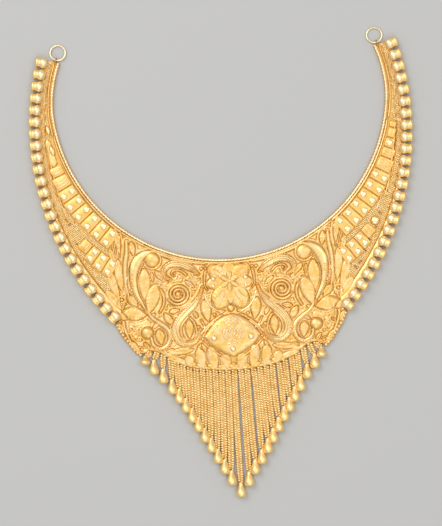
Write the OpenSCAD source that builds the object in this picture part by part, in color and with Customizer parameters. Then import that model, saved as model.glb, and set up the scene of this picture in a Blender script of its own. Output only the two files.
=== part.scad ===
// Gold bib necklace with curved arms, an edge of bell beads and a pointed chain fringe.
// It lies on its back: X to the wearer's left, Y up towards the end rings, Z off the table.
// The origin is the centre of the neck arc, on the table.

/* [Neck opening and arms] */
// Radius of the round neck edge
neck_r = 66.5; // [66:0.1:67]
// Angle of each arm's tip from straight down, in degrees
tip_angle = 103.7; // [103:0.1:104]
// Radius of the arms' outer edge at 65 degrees
edge_r_mid = 79.3; // [79.1:0.1:79.5]

/* [Sheet and relief] */
// Thickness of the backing sheet
sheet_t = 0.8; // [0.7:0.05:0.9]
// Height of the leaves and tiles above the sheet
leaf_h = 0.5; // [0.4:0.05:0.6]
// Height of the scroll bands above the leaves
scroll_h = 0.4; // [0.3:0.05:0.5]
// Width of the border wire of the bib
border_w = 0.9; // [0.8:0.05:1]

/* [Edge beads] */
// Beads on each arm
bead_n = 24; // [20:1:24]
// Diameter of each ball
ball_d = 3.8; // [3.6:0.05:3.8]
// Reach of a bead past the strap, from edge to tip
bead_reach = 3.2; // [3.1:0.05:3.3]

/* [Pearls] */
// Diameter of a pearl on a tile
pearl_d = 2; // [1.8:0.1:2.1]

/* [End rings] */
// Outer diameter of an end ring
ring_d = 6.7; // [6.6:0.1:6.8]
// Wire diameter of an end ring
ring_wire = 0.65; // [0.6:0.05:0.7]

/* [Fringe] */
// Distance between chains at the rim
chain_pitch = 2.55; // [2.5:0.01:2.6]
// Width of a chain
chain_w = 1.7; // [1.5:0.05:1.7]
// Thickness of a chain
chain_t = 1.2; // [1.1:0.05:1.2]
// Length of a pear drop
drop_l = 6.6; // [6.4:0.1:6.8]
// Widest diameter of a pear drop
drop_d = 3.6; // [3.4:0.05:3.6]

/* [Hidden] */
// Gap between pieces that are not soldered together
fit_gap = 0.15;
// How far soldered pieces sink into each other
sink = 0.3;
relief_z = sheet_t - sink;
leaf_top = sheet_t + leaf_h;
scroll_top = leaf_top + scroll_h;
// The neck edge draws inward past this angle
draw_angle = 85;
// Angle of the seam's top and of the last edge bead's end of the strap
seam_top = 38.2;
seam_foot = 26.3;
strip_w = 4;
// Length of a bead from its ball's centre to its tip
bead_half = 3.4;
// A ball's lowest point, so that it is cut by the sheet and not tangent to it
ball_lift = 0.05;
// Reach of the rim's scallops
rim_eye_reach = 1.1;
// Standing eyelet at an arm's tip: wire, mean radius, height of its centre
eye_wire = 0.5;
eye_r = 0.75;
eye_z = 1;
// Where the middle of an end ring lies
ring_angle = 107;
ring_radius = 66.2;
// Spacing of the rings of points along a chain
ring_step = 5;
// Height of a pear drop's round end and of its eye
tip_z = 2.3;
drop_eye_z = 0.9;
$fn = 48;

// Seam between bib and arm: angle from straight down, radius
seam = [
    [38.2, 67.5], [36.4, 72], [34.4, 77.5], [33, 84], [30.8, 90], [26.6, 93.6]
];

// Tiles of an arm: start angle, end angle, inner radius, outer radius, pearls
tiles = [
    [38.6, 41.8, 69, 75.6, 2], [42.2, 45.5, 69, 75.6, 2], [45.9, 49.5, 69, 75.6, 2],
    [49.9, 53.3, 69, 75.6, 2], [53.7, 57.2, 69, 75.6, 2], [57.6, 60.9, 69, 75.4, 2],
    [61.3, 65.3, 69.4, 73.5, 0], [65.7, 68.5, 69.4, 72.5, 1], [68.9, 71.8, 69, 71.7, 1],
    [72.3, 75, 69.2, 71.5, 1], [77.6, 81.6, 69.2, 71, 0],
    [34.2, 36.4, 78.8, 85.4, 2], [36.8, 39.4, 78.8, 85, 2], [39.8, 42.1, 78.8, 84.6, 2],
    [42.5, 45.4, 78.8, 83, 2]
];

// Pierced slots: angle, radius, radial length, width across
slots_right = [
    [49.6, 80.3, 1.7, 0.6], [50.2, 81, 0.7, 1.5], [46.2, 82.7, 0.8, 1], [42.5, 84.1, 1.3, 0.7],
    [39.6, 85.9, 1.4, 0.6], [36.6, 88.2, 0.7, 1.7], [34.9, 88.8, 1.8, 0.6]
];
slots_left = [[51.9, 79.6, 1.2, 0.9], [53, 79.4, 0.6, 2], [46.2, 83, 0.5, 0.8]];

// Corner of the bib at the last bead, its outer edge below the beads, then its rim from the
// middle outward
corner = [[44.9, -88.95], [46.7, -90.3]];
flank = [[46.5, -90.8], [44.5, -94.8], [42, -98.4], [40, -101.2], [38.2, -103], [37.2, -103.6]];
rim = [
    [0, -111.2], [5, -111.1], [10, -110.5], [14.5, -109.8], [18, -109], [22, -107.3],
    [26, -104.9], [29, -102.8], [31.5, -101.8], [34.5, -101.7], [36.4, -102.9]
];

// Scroll bands of one half: width at the start, width at the end, points along the band
c_scroll = [2.4, 1, [
    [29, -61.9], [33, -62.8], [36.4, -65.6], [38, -70], [37.9, -74.5], [36.8, -79], [34.8, -83],
    [33.4, -86.5], [30.8, -89.6], [27.2, -91.8], [24.8, -95], [25.6, -98.6], [28.6, -100],
    [31.2, -98.4], [31.4, -95.4], [29.8, -93.6]
]];
s_scroll = [2.2, 1.2, [
    [11.2, -73], [11.6, -77], [13.2, -81], [16, -84.6], [19.8, -87.8], [22.4, -91.6],
    [22.6, -95.8], [20.4, -99], [17, -99.8], [13.9, -98], [12.9, -94.4], [14.2, -90.8],
    [16.4, -89.2]
]];
spiral = [1.2, 0.8, [
    [13.6, -81.4], [16.6, -83.6], [20.4, -84], [23.8, -82.2], [25, -78.8], [23.4, -75.8],
    [20.2, -75], [17.4, -76.8], [17, -79.8], [19.4, -81.6], [22, -80.4], [22, -78],
    [20.4, -77.4]
]];
swirl = [1, 0.8, [
    [9.4, -71.4], [13, -70.8], [16, -68.9], [19.4, -67.8], [23, -67.4], [24.8, -69.4],
    [23.8, -71.8], [21.2, -72], [20.2, -70.4], [21.6, -69.4]
]];
frond = [0.9, 0.9, [
    [10.2, -73.4], [14, -73.8], [17, -72.8], [19.2, -73.6], [22.6, -74.2], [25.4, -73.2],
    [27.4, -70.8]
]];
wing = [1, 0.7, [[10.6, -79.2], [9.2, -83], [6.6, -86], [3.2, -88.2]]];
bands = [c_scroll, s_scroll, spiral, swirl, frond, wing];

// Leaves of one half: tip, base, width, sideways bow
leaves = [
    [[33.2, -68.6], [34.6, -80], 4.4, 0], [[29.4, -76], [31, -85], 4.8, 0.1],
    [[43.6, -84], [34.6, -87.8], 5.2, 0], [[32.4, -90.8], [33.6, -97.6], 4, 0],
    [[41, -91], [35.6, -95.4], 4.4, 0], [[39.6, -97], [34.6, -101.4], 3.6, 0],
    [[46.6, -76.6], [42.6, -82.4], 4.4, 0], [[42.6, -64], [40.6, -78.4], 2.2, 0],
    [[4.6, -87.6], [12, -86.6], 4.8, 0], [[14, -101.6], [22.4, -103.4], 3.4, 0],
    [[27, -85.2], [24.4, -90.6], 4, 0], [[5.6, -103.6], [7, -110], 3.6, 0],
    [[9.6, -102.4], [12.4, -109.6], 3.6, 0], [[15, -104.8], [20, -107.4], 2.6, 0]
];

// Inner teardrops of the two scroll eyes: tip, base, width
eye_drops = [[[28.8, -93.6], [28, -98.6], 3.4], [[17.8, -90.6], [16.8, -97.6], 4.6]];
eye_disc = [30.5, -65.8];
flower = [0, -75];

// Chains as they lie, from the middle outward: distance of the drop's tip from the middle
// line, y of the tip
chains_right = [
    [0, -162], [3.5, -157.8], [6.2, -153.1], [9.1, -149.2], [11.7, -145], [14.1, -141],
    [16.5, -136.7], [18.9, -132.6], [21.3, -129], [23.6, -125], [26.2, -121], [29, -116.2],
    [32.2, -112.3], [35.1, -108]
];
chains_left = [
    [0, -162], [3.5, -157], [6, -152.4], [8.5, -148], [10.9, -143.5], [13.2, -139.4],
    [15.5, -135], [17.8, -131.2], [20.1, -127.1], [22.5, -123.2], [25.2, -119.4],
    [28.5, -115], [32, -111.3], [35.4, -107.2]
];
chain_last = len(chains_right) - 1;

function two(k) = str(k < 10 ? "0" : "", k);
SIDES = ["left", "right"];

// Curves

// Point at an angle from straight down, on the right-hand side
function pol(t, r) = [r * sin(t), -r * cos(t)];
function neck_edge(t) = neck_r - 0.0253 * pow(max(0, t - draw_angle), 1.5);
function edge_r(t) = edge_r_mid - 0.37 * (t - 65) + 0.004 * pow(t - 65, 2);
function bead_angle(i) = 28 + 2.6 * i + 0.028 * i * i;
function rim_y(x) = lookup(x, rim);
function reversed(p) = [for (i = [len(p) - 1 : -1 : 0]) p[i]];

function catmull(a, b, c, d, u) = 0.5 * (2 * b + (c - a) * u
    + (2 * a - 5 * b + 4 * c - d) * u * u + (3 * b - a - 3 * c + d) * u * u * u);
function at(p, i) = i < 0 ? 2 * p[0] - p[1]
    : i >= len(p) ? 2 * p[len(p) - 1] - p[len(p) - 2] : p[i];
// Smooth curve through points, n steps between each two
function smooth(p, n = 3) = concat(
    [for (i = [0 : len(p) - 2], k = [0 : n - 1])
        catmull(at(p, i - 1), at(p, i), at(p, i + 1), at(p, i + 2), k / n)],
    [p[len(p) - 1]]
);
function across(p, i) = let (d = at(p, i + 1) - at(p, i - 1)) [-d[1], d[0]] / norm(d);

// Strip along a curve, from one width to another
module ribbon(band) {
    p = smooth(band[2]);
    m = len(p) - 1;
    function half(i) = (band[0] + (band[1] - band[0]) * i / m) / 2;
    polygon(concat(
        [for (i = [0 : m]) p[i] + across(p, i) * half(i)],
        [for (i = [m : -1 : 0]) p[i] - across(p, i) * half(i)]
    ));
}

// Pointed leaf, widest a little nearer its tip
module leaf(tip, base, w, bow = 0, n = 9) {
    d = base - tip;
    side = [-d[1], d[0]] / norm(d);
    function mid(u) = tip + d * u + side * bow * norm(d) * sin(180 * u);
    function half(u) = pow(sin(180 * pow(u, 0.8)), 0.8) * w / 2;
    polygon(concat(
        [for (k = [0 : n]) mid(k / n) + side * half(k / n)],
        [for (k = [n - 1 : -1 : 1]) mid(k / n) - side * half(k / n)]
    ));
}

// Part of a ring between two angles and two radii
module sector(t0, t1, r0, r1, step = 2) {
    n = max(1, ceil((t1 - t0) / step));
    polygon(concat(
        [for (k = [0 : n]) pol(t0 + (t1 - t0) * k / n, r0)],
        [for (k = [n : -1 : 0]) pol(t0 + (t1 - t0) * k / n, r1)]
    ));
}

// Strip that follows the arm's outer edge
module edge_strip(t0, t1, inner, outer, step = 2.5) {
    n = ceil((t1 - t0) / step);
    polygon(concat(
        [for (k = [0 : n]) let (t = t0 + (t1 - t0) * k / n) pol(t, edge_r(t) - inner)],
        [for (k = [n : -1 : 0]) let (t = t0 + (t1 - t0) * k / n) pol(t, edge_r(t) - outer)]
    ));
}

module both_sides() {
    children();
    mirror([1, 0]) children();
}

// Dome of width w and height h on a face at height z
module dome(w, h, z) {
    r = (w * w / 4 + h * h) / (2 * h);
    translate([0, 0, z + h - r]) difference() {
        sphere(r = r);
        translate([-2 * r, -2 * r, r - h - sink - 4 * r]) cube(4 * r);
    }
}

// Arms

module strap_outline() {
    n = 28;
    inner = [for (k = [0 : n]) let (t = seam_top + (tip_angle - seam_top) * k / n)
        pol(t, neck_edge(t))];
    outer = [for (k = [n : -1 : 0]) let (t = seam_foot + (tip_angle - seam_foot) * k / n)
        pol(t, edge_r(t))];
    polygon(concat(inner, outer, [for (k = [len(seam) - 1 : -1 : 0]) pol(seam[k][0], seam[k][1])]));
}

module slots(rows) {
    for (s = rows)
        translate(pol(s[0], s[1])) rotate(s[0]) square([s[3], s[2]], center = true);
}

module rope_edge() {
    n = 28;
    function t(k) = seam_top + 0.1 + (tip_angle - seam_top - 0.2) * k / n;
    translate([0, 0, relief_z]) linear_extrude(scroll_top - relief_z) polygon(concat(
        [for (k = [0 : n]) pol(t(k), neck_edge(t(k)) + 0.05)],
        [for (k = [n : -1 : 0]) pol(t(k), neck_edge(t(k)) + border_w)]
    ));
}

module tile(row) {
    t = (row[0] + row[1]) / 2;
    translate([0, 0, relief_z]) linear_extrude(leaf_top - relief_z)
        sector(row[0], row[1], row[2], row[3]);
    if (row[4] > 0)
        for (k = [0 : row[4] - 1])
            translate(pol(t, row[4] == 1 ? (row[2] + row[3]) / 2
                : row[2] + 1.4 + k * (row[3] - row[2] - 2.8)))
                dome(pearl_d, pearl_d / 2, leaf_top);
}

// Ball soldered to the strap's edge, with a bell-shaped cap outside it
module edge_bead(i) {
    t = bead_angle(i);
    edge = pol(t, edge_r(t));
    along = pol(t + 0.5, edge_r(t + 0.5)) - pol(t - 0.5, edge_r(t - 0.5));
    ball_out = bead_reach - bead_half;
    translate([edge[0], edge[1], ball_d / 2 + ball_lift])
        rotate([0, 0, atan2(along[1], along[0]) - 90]) rotate([0, 90, 0]) {
            translate([0, 0, ball_out]) sphere(d = ball_d);
            translate([0, 0, ball_out + 1.2]) rotate_extrude() polygon([
                [0, 0], [1.25, 0], [1.25, 0.5], [1.5, 1], [1.75, 1.4], [1.65, 1.8],
                [1.2, 2.1], [0, 2.2]
            ]);
        }
}

// The end ring hangs in an eyelet that stands at the arm's tip
ring_centre = pol(ring_angle, ring_radius);
ring_mean_r = (ring_d - ring_wire) / 2;
eye_place = ring_centre + ring_mean_r * [-cos(ring_angle), -sin(ring_angle)];
// The end ring leans from its eyelet down to the table
ring_lean = asin((eye_z - ring_wire / 2) / (2 * ring_mean_r));

module tip_eyelet() {
    translate([eye_place[0], eye_place[1], eye_z]) rotate([0, 0, ring_angle - 90]) {
        rotate([0, 90, 0]) rotate_extrude() translate([eye_r, 0]) circle(d = eye_wire);
        translate([-0.3, -eye_r - 0.9, 0.1 - eye_z]) cube([0.6, 0.9, 0.9]);
    }
}

module arm(slot_rows) {
    color("goldenrod") union() {
        linear_extrude(sheet_t) difference() {
            strap_outline();
            slots(slot_rows);
        }
        rope_edge();
        for (row = tiles) tile(row);
        translate([0, 0, relief_z]) linear_extrude(leaf_top - 0.15 - relief_z) {
            sector(seam_top + 0.2, 76, neck_r + border_w + 0.2, neck_r + 2.4);
            sector(35, 59.5, 76.2, 78.3);
            edge_strip(seam_foot + 0.2, tip_angle - 0.2, strip_w, 0.1);
        }
        translate([0, 0, relief_z]) linear_extrude(leaf_top - relief_z)
            translate(pol(47.6, 80.3)) circle(r = 1.3);
        for (i = [0 : bead_n - 1]) edge_bead(i);
        tip_eyelet();
    }
}
module arm_right() arm(slots_right);
module arm_left() mirror([1, 0, 0]) arm(slots_left);

module end_ring_right() color("palegoldenrod")
    translate([eye_place[0], eye_place[1], eye_z])
        rotate([0, 0, ring_angle]) rotate([0, ring_lean, 0])
            translate([ring_mean_r, 0, 0])
                rotate_extrude() translate([ring_mean_r, 0]) circle(d = ring_wire);
module end_ring_left() mirror([1, 0, 0]) end_ring_right();

// Bib

function rim_eye(k) = [chain_pitch * k, rim_y(chain_pitch * k)];

module bib_half_outline() {
    n = 18;
    top = [for (k = [0 : n]) pol(seam_top * k / n, neck_r)];
    side = [for (s = seam) pol(s[0], s[1])];
    foot = pol(seam_foot, edge_r(seam_foot) + 0.15);
    low = smooth(flank, 3);
    polygon(concat(top, side, [foot], corner, low, smooth(reversed(rim), 2)));
}

module bib_outline() {
    offset(delta = -fit_gap / 2) both_sides() bib_half_outline();
    both_sides() for (k = [0 : chain_last]) translate(rim_eye(k)) circle(r = rim_eye_reach, $fn = 20);
}

module lozenge(grow = 0) {
    side = [[0, -87.8], [3.4, -88.8], [7, -91.4], [10.8, -96.4]];
    foot = [[10.8, -96.4], [7.4, -101.8], [3.4, -104.6], [0, -107.4]];
    offset(delta = grow) both_sides()
        polygon(concat(smooth(side, 3), smooth(foot, 3)));
}

module flower_petals() {
    for (k = [0 : 5])
        rotate(60 * k) leaf([0, 2.4], [0, 8], 5.2, n = 8);
}

module relief_all() {
    both_sides() {
        for (b = bands) ribbon(b);
        for (l = leaves) leaf(l[0], l[1], l[2], l[3]);
        for (e = eye_drops) leaf(e[0], e[1], e[2]);
        translate(eye_disc) circle(r = 3.9, $fn = 32);
    }
    translate(flower) {
        flower_petals();
        circle(r = 2.6, $fn = 24);
    }
    lozenge();
}

module relief_tops() {
    both_sides() for (b = bands) ribbon(b);
    both_sides() translate(eye_disc) difference() {
        circle(r = 3.9, $fn = 32);
        circle(r = 2.7, $fn = 32);
    }
    difference() {
        lozenge();
        lozenge(-0.9);
    }
}

module bib() {
    color("gold") union() {
        linear_extrude(sheet_t) bib_outline();
        translate([0, 0, relief_z]) linear_extrude(leaf_top - relief_z) {
            difference() {
                offset(delta = -0.1) bib_outline();
                offset(delta = -border_w) bib_outline();
            }
            offset(delta = 0.02) intersection() {
                offset(delta = -0.5) bib_outline();
                relief_all();
            }
        }
        translate([0, 0, leaf_top - sink]) linear_extrude(scroll_h + sink)
            offset(delta = -0.12) relief_tops();
        for (m = [0, 1]) mirror([m, 0, 0]) {
            translate([eye_disc[0], eye_disc[1], 0]) dome(5.2, 0.8, leaf_top);
            translate([7.5, -98, 0]) dome(2, 0.8, leaf_top);
        }
        translate([flower[0], flower[1], 0]) dome(3.2, 1.1, leaf_top);
        translate([0, -96.2, 0]) dome(4.4, 1, leaf_top);
        translate([0, -102.5, 0]) dome(1.8, 0.8, leaf_top);
    }
}

// Fringe

// Closed tube of 8 sides through the middle points of its rings
module tube(mids, w, t) {
    n = len(mids);
    s = 8;
    pts = [for (m = mids, j = [0 : s - 1])
        m + [cos(360 * j / s) * w / 2, 0, sin(360 * j / s) * t / 2]];
    walls = [for (i = [0 : n - 2], j = [0 : s - 1])
        [i * s + j, (i + 1) * s + j, (i + 1) * s + (j + 1) % s, i * s + (j + 1) % s]];
    caps = [[for (j = [0 : s - 1]) j], [for (j = [s - 1 : -1 : 0]) (n - 1) * s + j]];
    polyhedron(points = pts, faces = concat(walls, caps));
}

module pear_drop(l) {
    f = l / drop_l;
    rotate_extrude() polygon([
        [0, 0], [0.9, 0.1], [1.45, 0.6], [drop_d / 2, 1.7 * f], [1.65, 2.5 * f], [1.2, 3.6 * f],
        [0.7, 4.9 * f], [0.45, 6.2 * f], [0, 6.3 * f]
    ]);
}

module strand(chains, k) {
    top = rim_eye(k) - [0, rim_eye_reach + fit_gap];
    tip = chains[k];
    l = min(drop_l, top[1] - tip[1] - 0.4);
    foot = [tip[0], tip[1] + l - 0.6];
    length = top[1] - foot[1];
    n = max(1, ceil(length / ring_step));
    mids = [for (i = [0 : n]) let (u = i / n)
        [top[0] + (foot[0] - top[0]) * u * u, top[1] - length * u,
         chain_t / 2 + (drop_eye_z - chain_t / 2) * pow(u, 6)]];
    color("gold") union() {
        tube(mids, chain_w, chain_t);
        translate([tip[0], tip[1], tip_z])
            rotate([-90 - atan2(tip_z - drop_eye_z, l), 0, 0]) pear_drop(l);
    }
}

module strand_side(side, k) {
    if (side == "left") mirror([1, 0, 0]) strand(chains_left, k);
    else strand(chains_right, k);
}

bib();
arm_left();
arm_right();
end_ring_left();
end_ring_right();
strand(chains_right, 0);  // strand_centre
for (s = SIDES, k = [1 : chain_last])
    strand_side(s, k);
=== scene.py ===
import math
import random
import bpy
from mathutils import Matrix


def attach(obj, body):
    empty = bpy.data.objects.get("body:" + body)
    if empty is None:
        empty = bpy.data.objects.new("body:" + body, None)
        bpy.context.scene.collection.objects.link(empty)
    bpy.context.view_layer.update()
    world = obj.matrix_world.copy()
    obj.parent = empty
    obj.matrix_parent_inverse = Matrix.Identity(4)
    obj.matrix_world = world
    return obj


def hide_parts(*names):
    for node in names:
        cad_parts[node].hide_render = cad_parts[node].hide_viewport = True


bl_info = {
    "name": "Gold Bib Necklace",
    "version": (1, 0, 0),
    "blender": (4, 5, 0),
    "location": "View3D > Sidebar > Necklace",
    "description": "Chased gold bib necklace with bell beads and a pointed chain fringe",
    "category": "Add Mesh",
}

from types import SimpleNamespace

import bmesh
import bpy
from bpy.props import FloatProperty, FloatVectorProperty, IntProperty, PointerProperty
from mathutils import Matrix, Vector

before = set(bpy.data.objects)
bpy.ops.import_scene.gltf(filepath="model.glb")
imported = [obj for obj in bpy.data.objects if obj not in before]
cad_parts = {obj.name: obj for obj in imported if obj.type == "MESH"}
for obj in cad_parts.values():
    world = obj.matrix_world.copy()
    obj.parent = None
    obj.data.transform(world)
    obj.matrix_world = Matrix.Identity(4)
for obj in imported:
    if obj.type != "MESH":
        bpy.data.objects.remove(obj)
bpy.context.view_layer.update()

# Sizes are in millimetres until a piece is finished, in the frame of the solids:
# the neck arc's centre is the origin, +Y runs up to the end rings and the table is z = 0.
# Only the panel's lengths, the lights and the camera are in metres.
MM = 0.001
SEED = 11
# The sides, with the sign that mirrors a shape of the right half
SIDES = {"left": -1, "right": 1}
# Faces that meet at a larger angle keep a sharp edge
SHARP_ANGLE = math.radians(50)

# Angles are measured from straight down, in degrees, the same way on both sides. An arm runs
# from its seam with the bib, at the neck and at the outer edge, to its tip.
SEAM_TOP = 38.2
SEAM_FOOT = 26.3
TIP_ANGLE = 103.7
SEAM_GAP = 0.15
# The seam from the neck outward: angle, radius
SEAM = [(SEAM_TOP, 67.5), (36.4, 72), (34.4, 77.5), (33, 84), (30.8, 90), (26.6, 93.6)]

# Tiles of an arm: start angle, end angle, inner radius, outer radius, pearls, bars
TILES = [
    (38.4, 41.85, 69, 76.6, 2, 0), (42.15, 45.6, 69, 76.6, 2, 0), (45.9, 49.55, 69, 76.6, 2, 0),
    (49.85, 53.4, 69, 76.6, 2, 0), (53.7, 57.2, 69, 76.6, 2, 0), (57.5, 61, 69, 76.2, 2, 0),
    (61.3, 65.3, 69.2, 75.4, 0, 3), (65.6, 68.6, 69.3, 74.4, 0, 2), (68.9, 71.8, 69.3, 73, 1, 0),
    (72.1, 75.2, 69.4, 72.4, 0, 0), (75.5, 77.4, 69.4, 72, 0, 0),
    (33.6, 36.3, 79, 86, 2, 0), (36.6, 39.4, 79, 86, 2, 0), (39.7, 42.3, 79, 85.4, 2, 0),
    (42.6, 45.6, 79, 83.6, 0, 2),
]
# The left arm has no tiles past this angle, but two bosses
LEFT_TILES_END = 68.7
# Smooth bosses of each arm: angle, radius, length along the arm, width
BOSSES = {
    "right": [(47.5, 80.8, 4, 3.8)],
    "left": [(73.9, 70.5, 4.8, 2.3), (80.6, 69.9, 4.4, 1.9)],
}
# Pierced slots of the right and the left arm: angle, radius, radial length, width across
SLOTS = {
    "right": [
        (50, 80.5, 1.5, 0.9), (46.2, 82.7, 0.8, 1), (42.5, 84.1, 1.3, 0.7),
        (39.6, 85.9, 1.4, 0.6), (36.6, 88.2, 0.7, 1.7), (34.9, 88.8, 1.8, 0.6),
    ],
    "left": [(51.6, 79.6, 1.2, 0.9), (53.1, 79.4, 0.6, 1.8), (46.2, 83, 0.5, 0.8)],
}

# Middle of the right arm's tip eyelet, and how far it is turned
TIP_EYELET = (64.19, 16.46)
EYELET_TURN = 17

# Outline of the bib's right half below the seam: corner and flank going down, and the rim from
# the middle out to the flank
CORNER = [(44.9, -88.95), (46.7, -90.3)]
FLANK = [(46.5, -90.8), (44.5, -94.8), (42, -98.4), (40, -101.2), (38.2, -103), (37.2, -103.6)]
RIM = [
    (0, -111.2), (5, -111.1), (10, -110.5), (14.5, -109.8), (18, -109), (22, -107.3),
    (26, -104.9), (29, -102.8), (31.5, -101.8), (34.5, -101.7), (36.4, -102.9),
]
RIM_END = RIM[-1][0]


def coil(x, y, start, end, turns, angle):
    """Points of a spiral, a little wider than high, that winds inward clockwise"""
    count = int(turns * 10)
    points = []
    for k in range(count + 1):
        a = math.radians(angle) - math.tau * turns * k / count
        r = start + (end - start) * k / count
        points.append((x + r * math.cos(a), y + r * 0.94 * math.sin(a)))
    return points


# Scroll bands of one half: widths from start to end, ridges, notched, points
BANDS = [
    ((1.4, 3.2, 4.5, 4.5, 3.4, 2.9, 2.6, 2, 1.2), 1, 0, [
        (30.2, -62), (33, -62.7), (35.6, -64.7), (37.5, -67.9), (38.2, -71.5), (38.1, -75),
        (37.3, -78.8), (35.6, -82), (34.1, -84.9)]),
    ((1.4, 2.1, 2.3, 2.1, 1.5), 1, 0, [
        (33.4, -85.6), (31.6, -88.4), (28.6, -90.8), (25.8, -93.2), (24.8, -96.4), (26, -99.6),
        (28.9, -100.9), (31.7, -99.2), (32.4, -96)]),
    ((1, 3, 3.9, 3.7, 2.8, 2), 2, 0, [
        (10.9, -77.2), (12.2, -80.6), (14.8, -84.2), (18.2, -87.2), (21.2, -90.4),
        (22.6, -94), (21.8, -97.4), (19.2, -99.4), (16, -99.2), (13.6, -97), (13, -94.4)]),
    ((1.2, 1.2), 1, 1, [
        (17.2, -88.7), (19.6, -91.4), (20.4, -94.8), (19.3, -97.9), (16.9, -98.9), (14.7, -97.4),
        (14.2, -94.2), (15.2, -91), (16.8, -89)]),
    ((1.4, 1.1), 1, 0, coil(20.7, -79.6, 4.4, 1.2, 2.3, 330)),
    ((1.2, 3.3, 3.3, 2.6, 1.6), 2, 0, [
        (12.2, -72.2), (14.6, -69.8), (19, -67.6), (22.8, -67.4), (25.6, -69.2), (25.9, -72),
        (23.7, -73.6)]),
    ((1.1, 0.8), 1, 0, [(17, -72.2), (19, -70.4), (21.6, -69.9), (23, -71.2), (21.9, -72.4)]),
    ((1.5, 1.2), 1, 1, [(12.9, -96.6), (10.5, -93.8), (7.4, -91.1), (4, -88.9)]),
    ((1.2, 0.8), 1, 1, [(8.4, -95.4), (10.8, -92.8), (12.2, -90.4)]),
    ((1.5, 1.1), 1, 0, [(27.4, -77.8), (26.5, -80.4), (26.8, -83.6), (28.4, -86.4)]),
    ((1.7, 1.2), 1, 0, [(43.2, -88.8), (42.9, -92), (41.6, -95.6), (40.2, -98.8)]),
    ((1.1, 1.1), 1, 0, [(11.6, -99.4), (8.9, -102.2), (4.9, -105), (1.3, -107.4)]),
    ((1, 0.8), 1, 0, [
        (33.4, -99.8), (34.8, -101.8), (37.2, -101.6), (37.3, -99.9), (35.8, -100.1)]),
    ((1.2, 0.8), 1, 0, [(9.4, -71.2), (9.9, -74), (9.9, -77), (8.8, -78.6)]),
    ((1.7, 1.3), 1, 0, [(28.4, -62.8), (22.4, -65), (15.6, -66.9), (9, -68)]),
    ((1.5, 2.3, 1.8, 1.1), 1, 0, [
        (40.2, -57.4), (40.4, -62), (41.3, -67.4), (41.4, -74.4), (40.3, -80)]),
]

# Leaves of one half: tip, base, width, sideways bow, veins
LEAVES = [
    ((33.7, -68.7), (34.3, -81.4), 4.9, 0, 9), ((29.4, -75.2), (33, -86.8), 5.6, 0, 8),
    ((42.6, -85.6), (33.9, -87.4), 5.4, 0, 6), ((35.4, -98.2), (33, -101.4), 1.8, 0, 0),
    ((40.9, -97), (36.9, -103.2), 2.6, 0, 4),
    ((44, -64.4), (42.8, -77.8), 3.6, 0.04, 0), ((47.6, -68.4), (44, -81), 4, 0.05, 0),
    ((49.4, -76.6), (43.6, -84.4), 4.4, 0, 0), ((40.8, -79.2), (37.2, -83.6), 3.4, 0, 0),
    ((46.6, -85.4), (41.6, -88.6), 3.2, 0, 4), ((45.2, -89.8), (43.2, -93.8), 2.2, 0, 0),
    ((10.6, -82.6), (9.2, -91.2), 4.2, 0, 6), ((2.4, -87.4), (6, -87), 1.4, 0, 0),
    ((15.8, -102), (26.4, -102.9), 3, 0, 5), ((20, -106.4), (26.4, -104.8), 2.8, 0, 0),
    ((12.6, -99.8), (14.4, -103), 1.5, 0, 4),
    ((24.4, -86.6), (20.6, -85.8), 2.2, 0, 0), ((24, -91.2), (26.6, -86.8), 3.2, 0, 0),
    ((29.2, -70), (26.6, -73.6), 2.4, 0, 0), ((17.6, -74.4), (13.9, -77.4), 1.8, 0, 0),
    ((23.4, -101.8), (26.8, -102.2), 1.6, 0, 0), ((29.2, -90.9), (31.6, -92.6), 1.6, 0, 0),
    ((44.6, -51.8), (43, -62.4), 2.8, 0, 0), ((38.4, -57.6), (37.6, -63.4), 2.6, 0, 4),
    ((47.2, -59.6), (45.4, -66.6), 2.6, 0, 0), ((5.6, -69.2), (1.2, -68.6), 1.2, 0, 0),
    ((13.6, -89.4), (15.2, -86.4), 1.8, 0, 0), ((39.9, -92.2), (41.3, -93.8), 0.9, 0, 0),
    ((24.4, -75), (27.2, -73.4), 1.4, 0, 0), ((30.9, -70.2), (30.5, -74.4), 1.6, 0, 0),
]
# Blunt lobes above the rim: tip, base, width, sideways bow, veins
LOBES = [
    ((3.8, -104.6), (2.4, -110.4), 4.6, 0, 0), ((9, -101.4), (7.2, -110.2), 4.8, 0.03, 0),
    ((13.6, -101.9), (12.2, -109.8), 4.5, 0.03, 0), ((18.4, -104.4), (17, -108.9), 4.2, 0, 0),
]
# Drops in the eyes of the two large scrolls, as leaves
EYE_DROPS = [((16.9, -90.2), (17.1, -97.6), 3.6, 0, 0), ((29.2, -93.4), (28.4, -99.3), 3.9, 0, 0)]
# Small round domes of one half: x, y, radius
STUDS = [
    (33.8, -94.4, 2.5), (21.6, -71.2, 0.5), (13.4, -93.2, 0.7), (9.3, -69.9, 0.6),
    (36.7, -97.1, 0.6), (45.6, -74.2, 0.7), (11.8, -98, 0.7),
    (10.9, -70, 0.7), (24.2, -88.9, 0.6), (30.9, -87.2, 0.7), (39.2, -76.8, 0.6),
    (43.3, -80.6, 0.7), (20.2, -103.1, 0.5), (6.7, -88.6, 0.7), (13.6, -72, 0.5),
    (0, -86.3, 1.4), (0, -108.7, 0.8), (20.7, -79.6, 1.1),
]
# Bright pearls of one half: x, y, radius, height of the foot
PEARLS = [
    (7.4, -97.9, 1.3, 1.3), (10.9, -93.5, 0.8, 0.3), (6.5, -74.3, 0.9, 0.5),
    (6.5, -77.2, 0.8, 0.5), (0, -102.6, 1.2, 1.2),
]
# Curved edge of the medallion's right half from top to foot, and its corner at the side
MEDALLION = [(0, -88.4), (3.6, -89.4), (7.6, -92.1), (11.4, -97.1), (8.8, -101), (4.4, -103.8),
             (0, -106)]
MEDALLION_CORNER = 3
MEDALLION_RISE = 1.3
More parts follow.
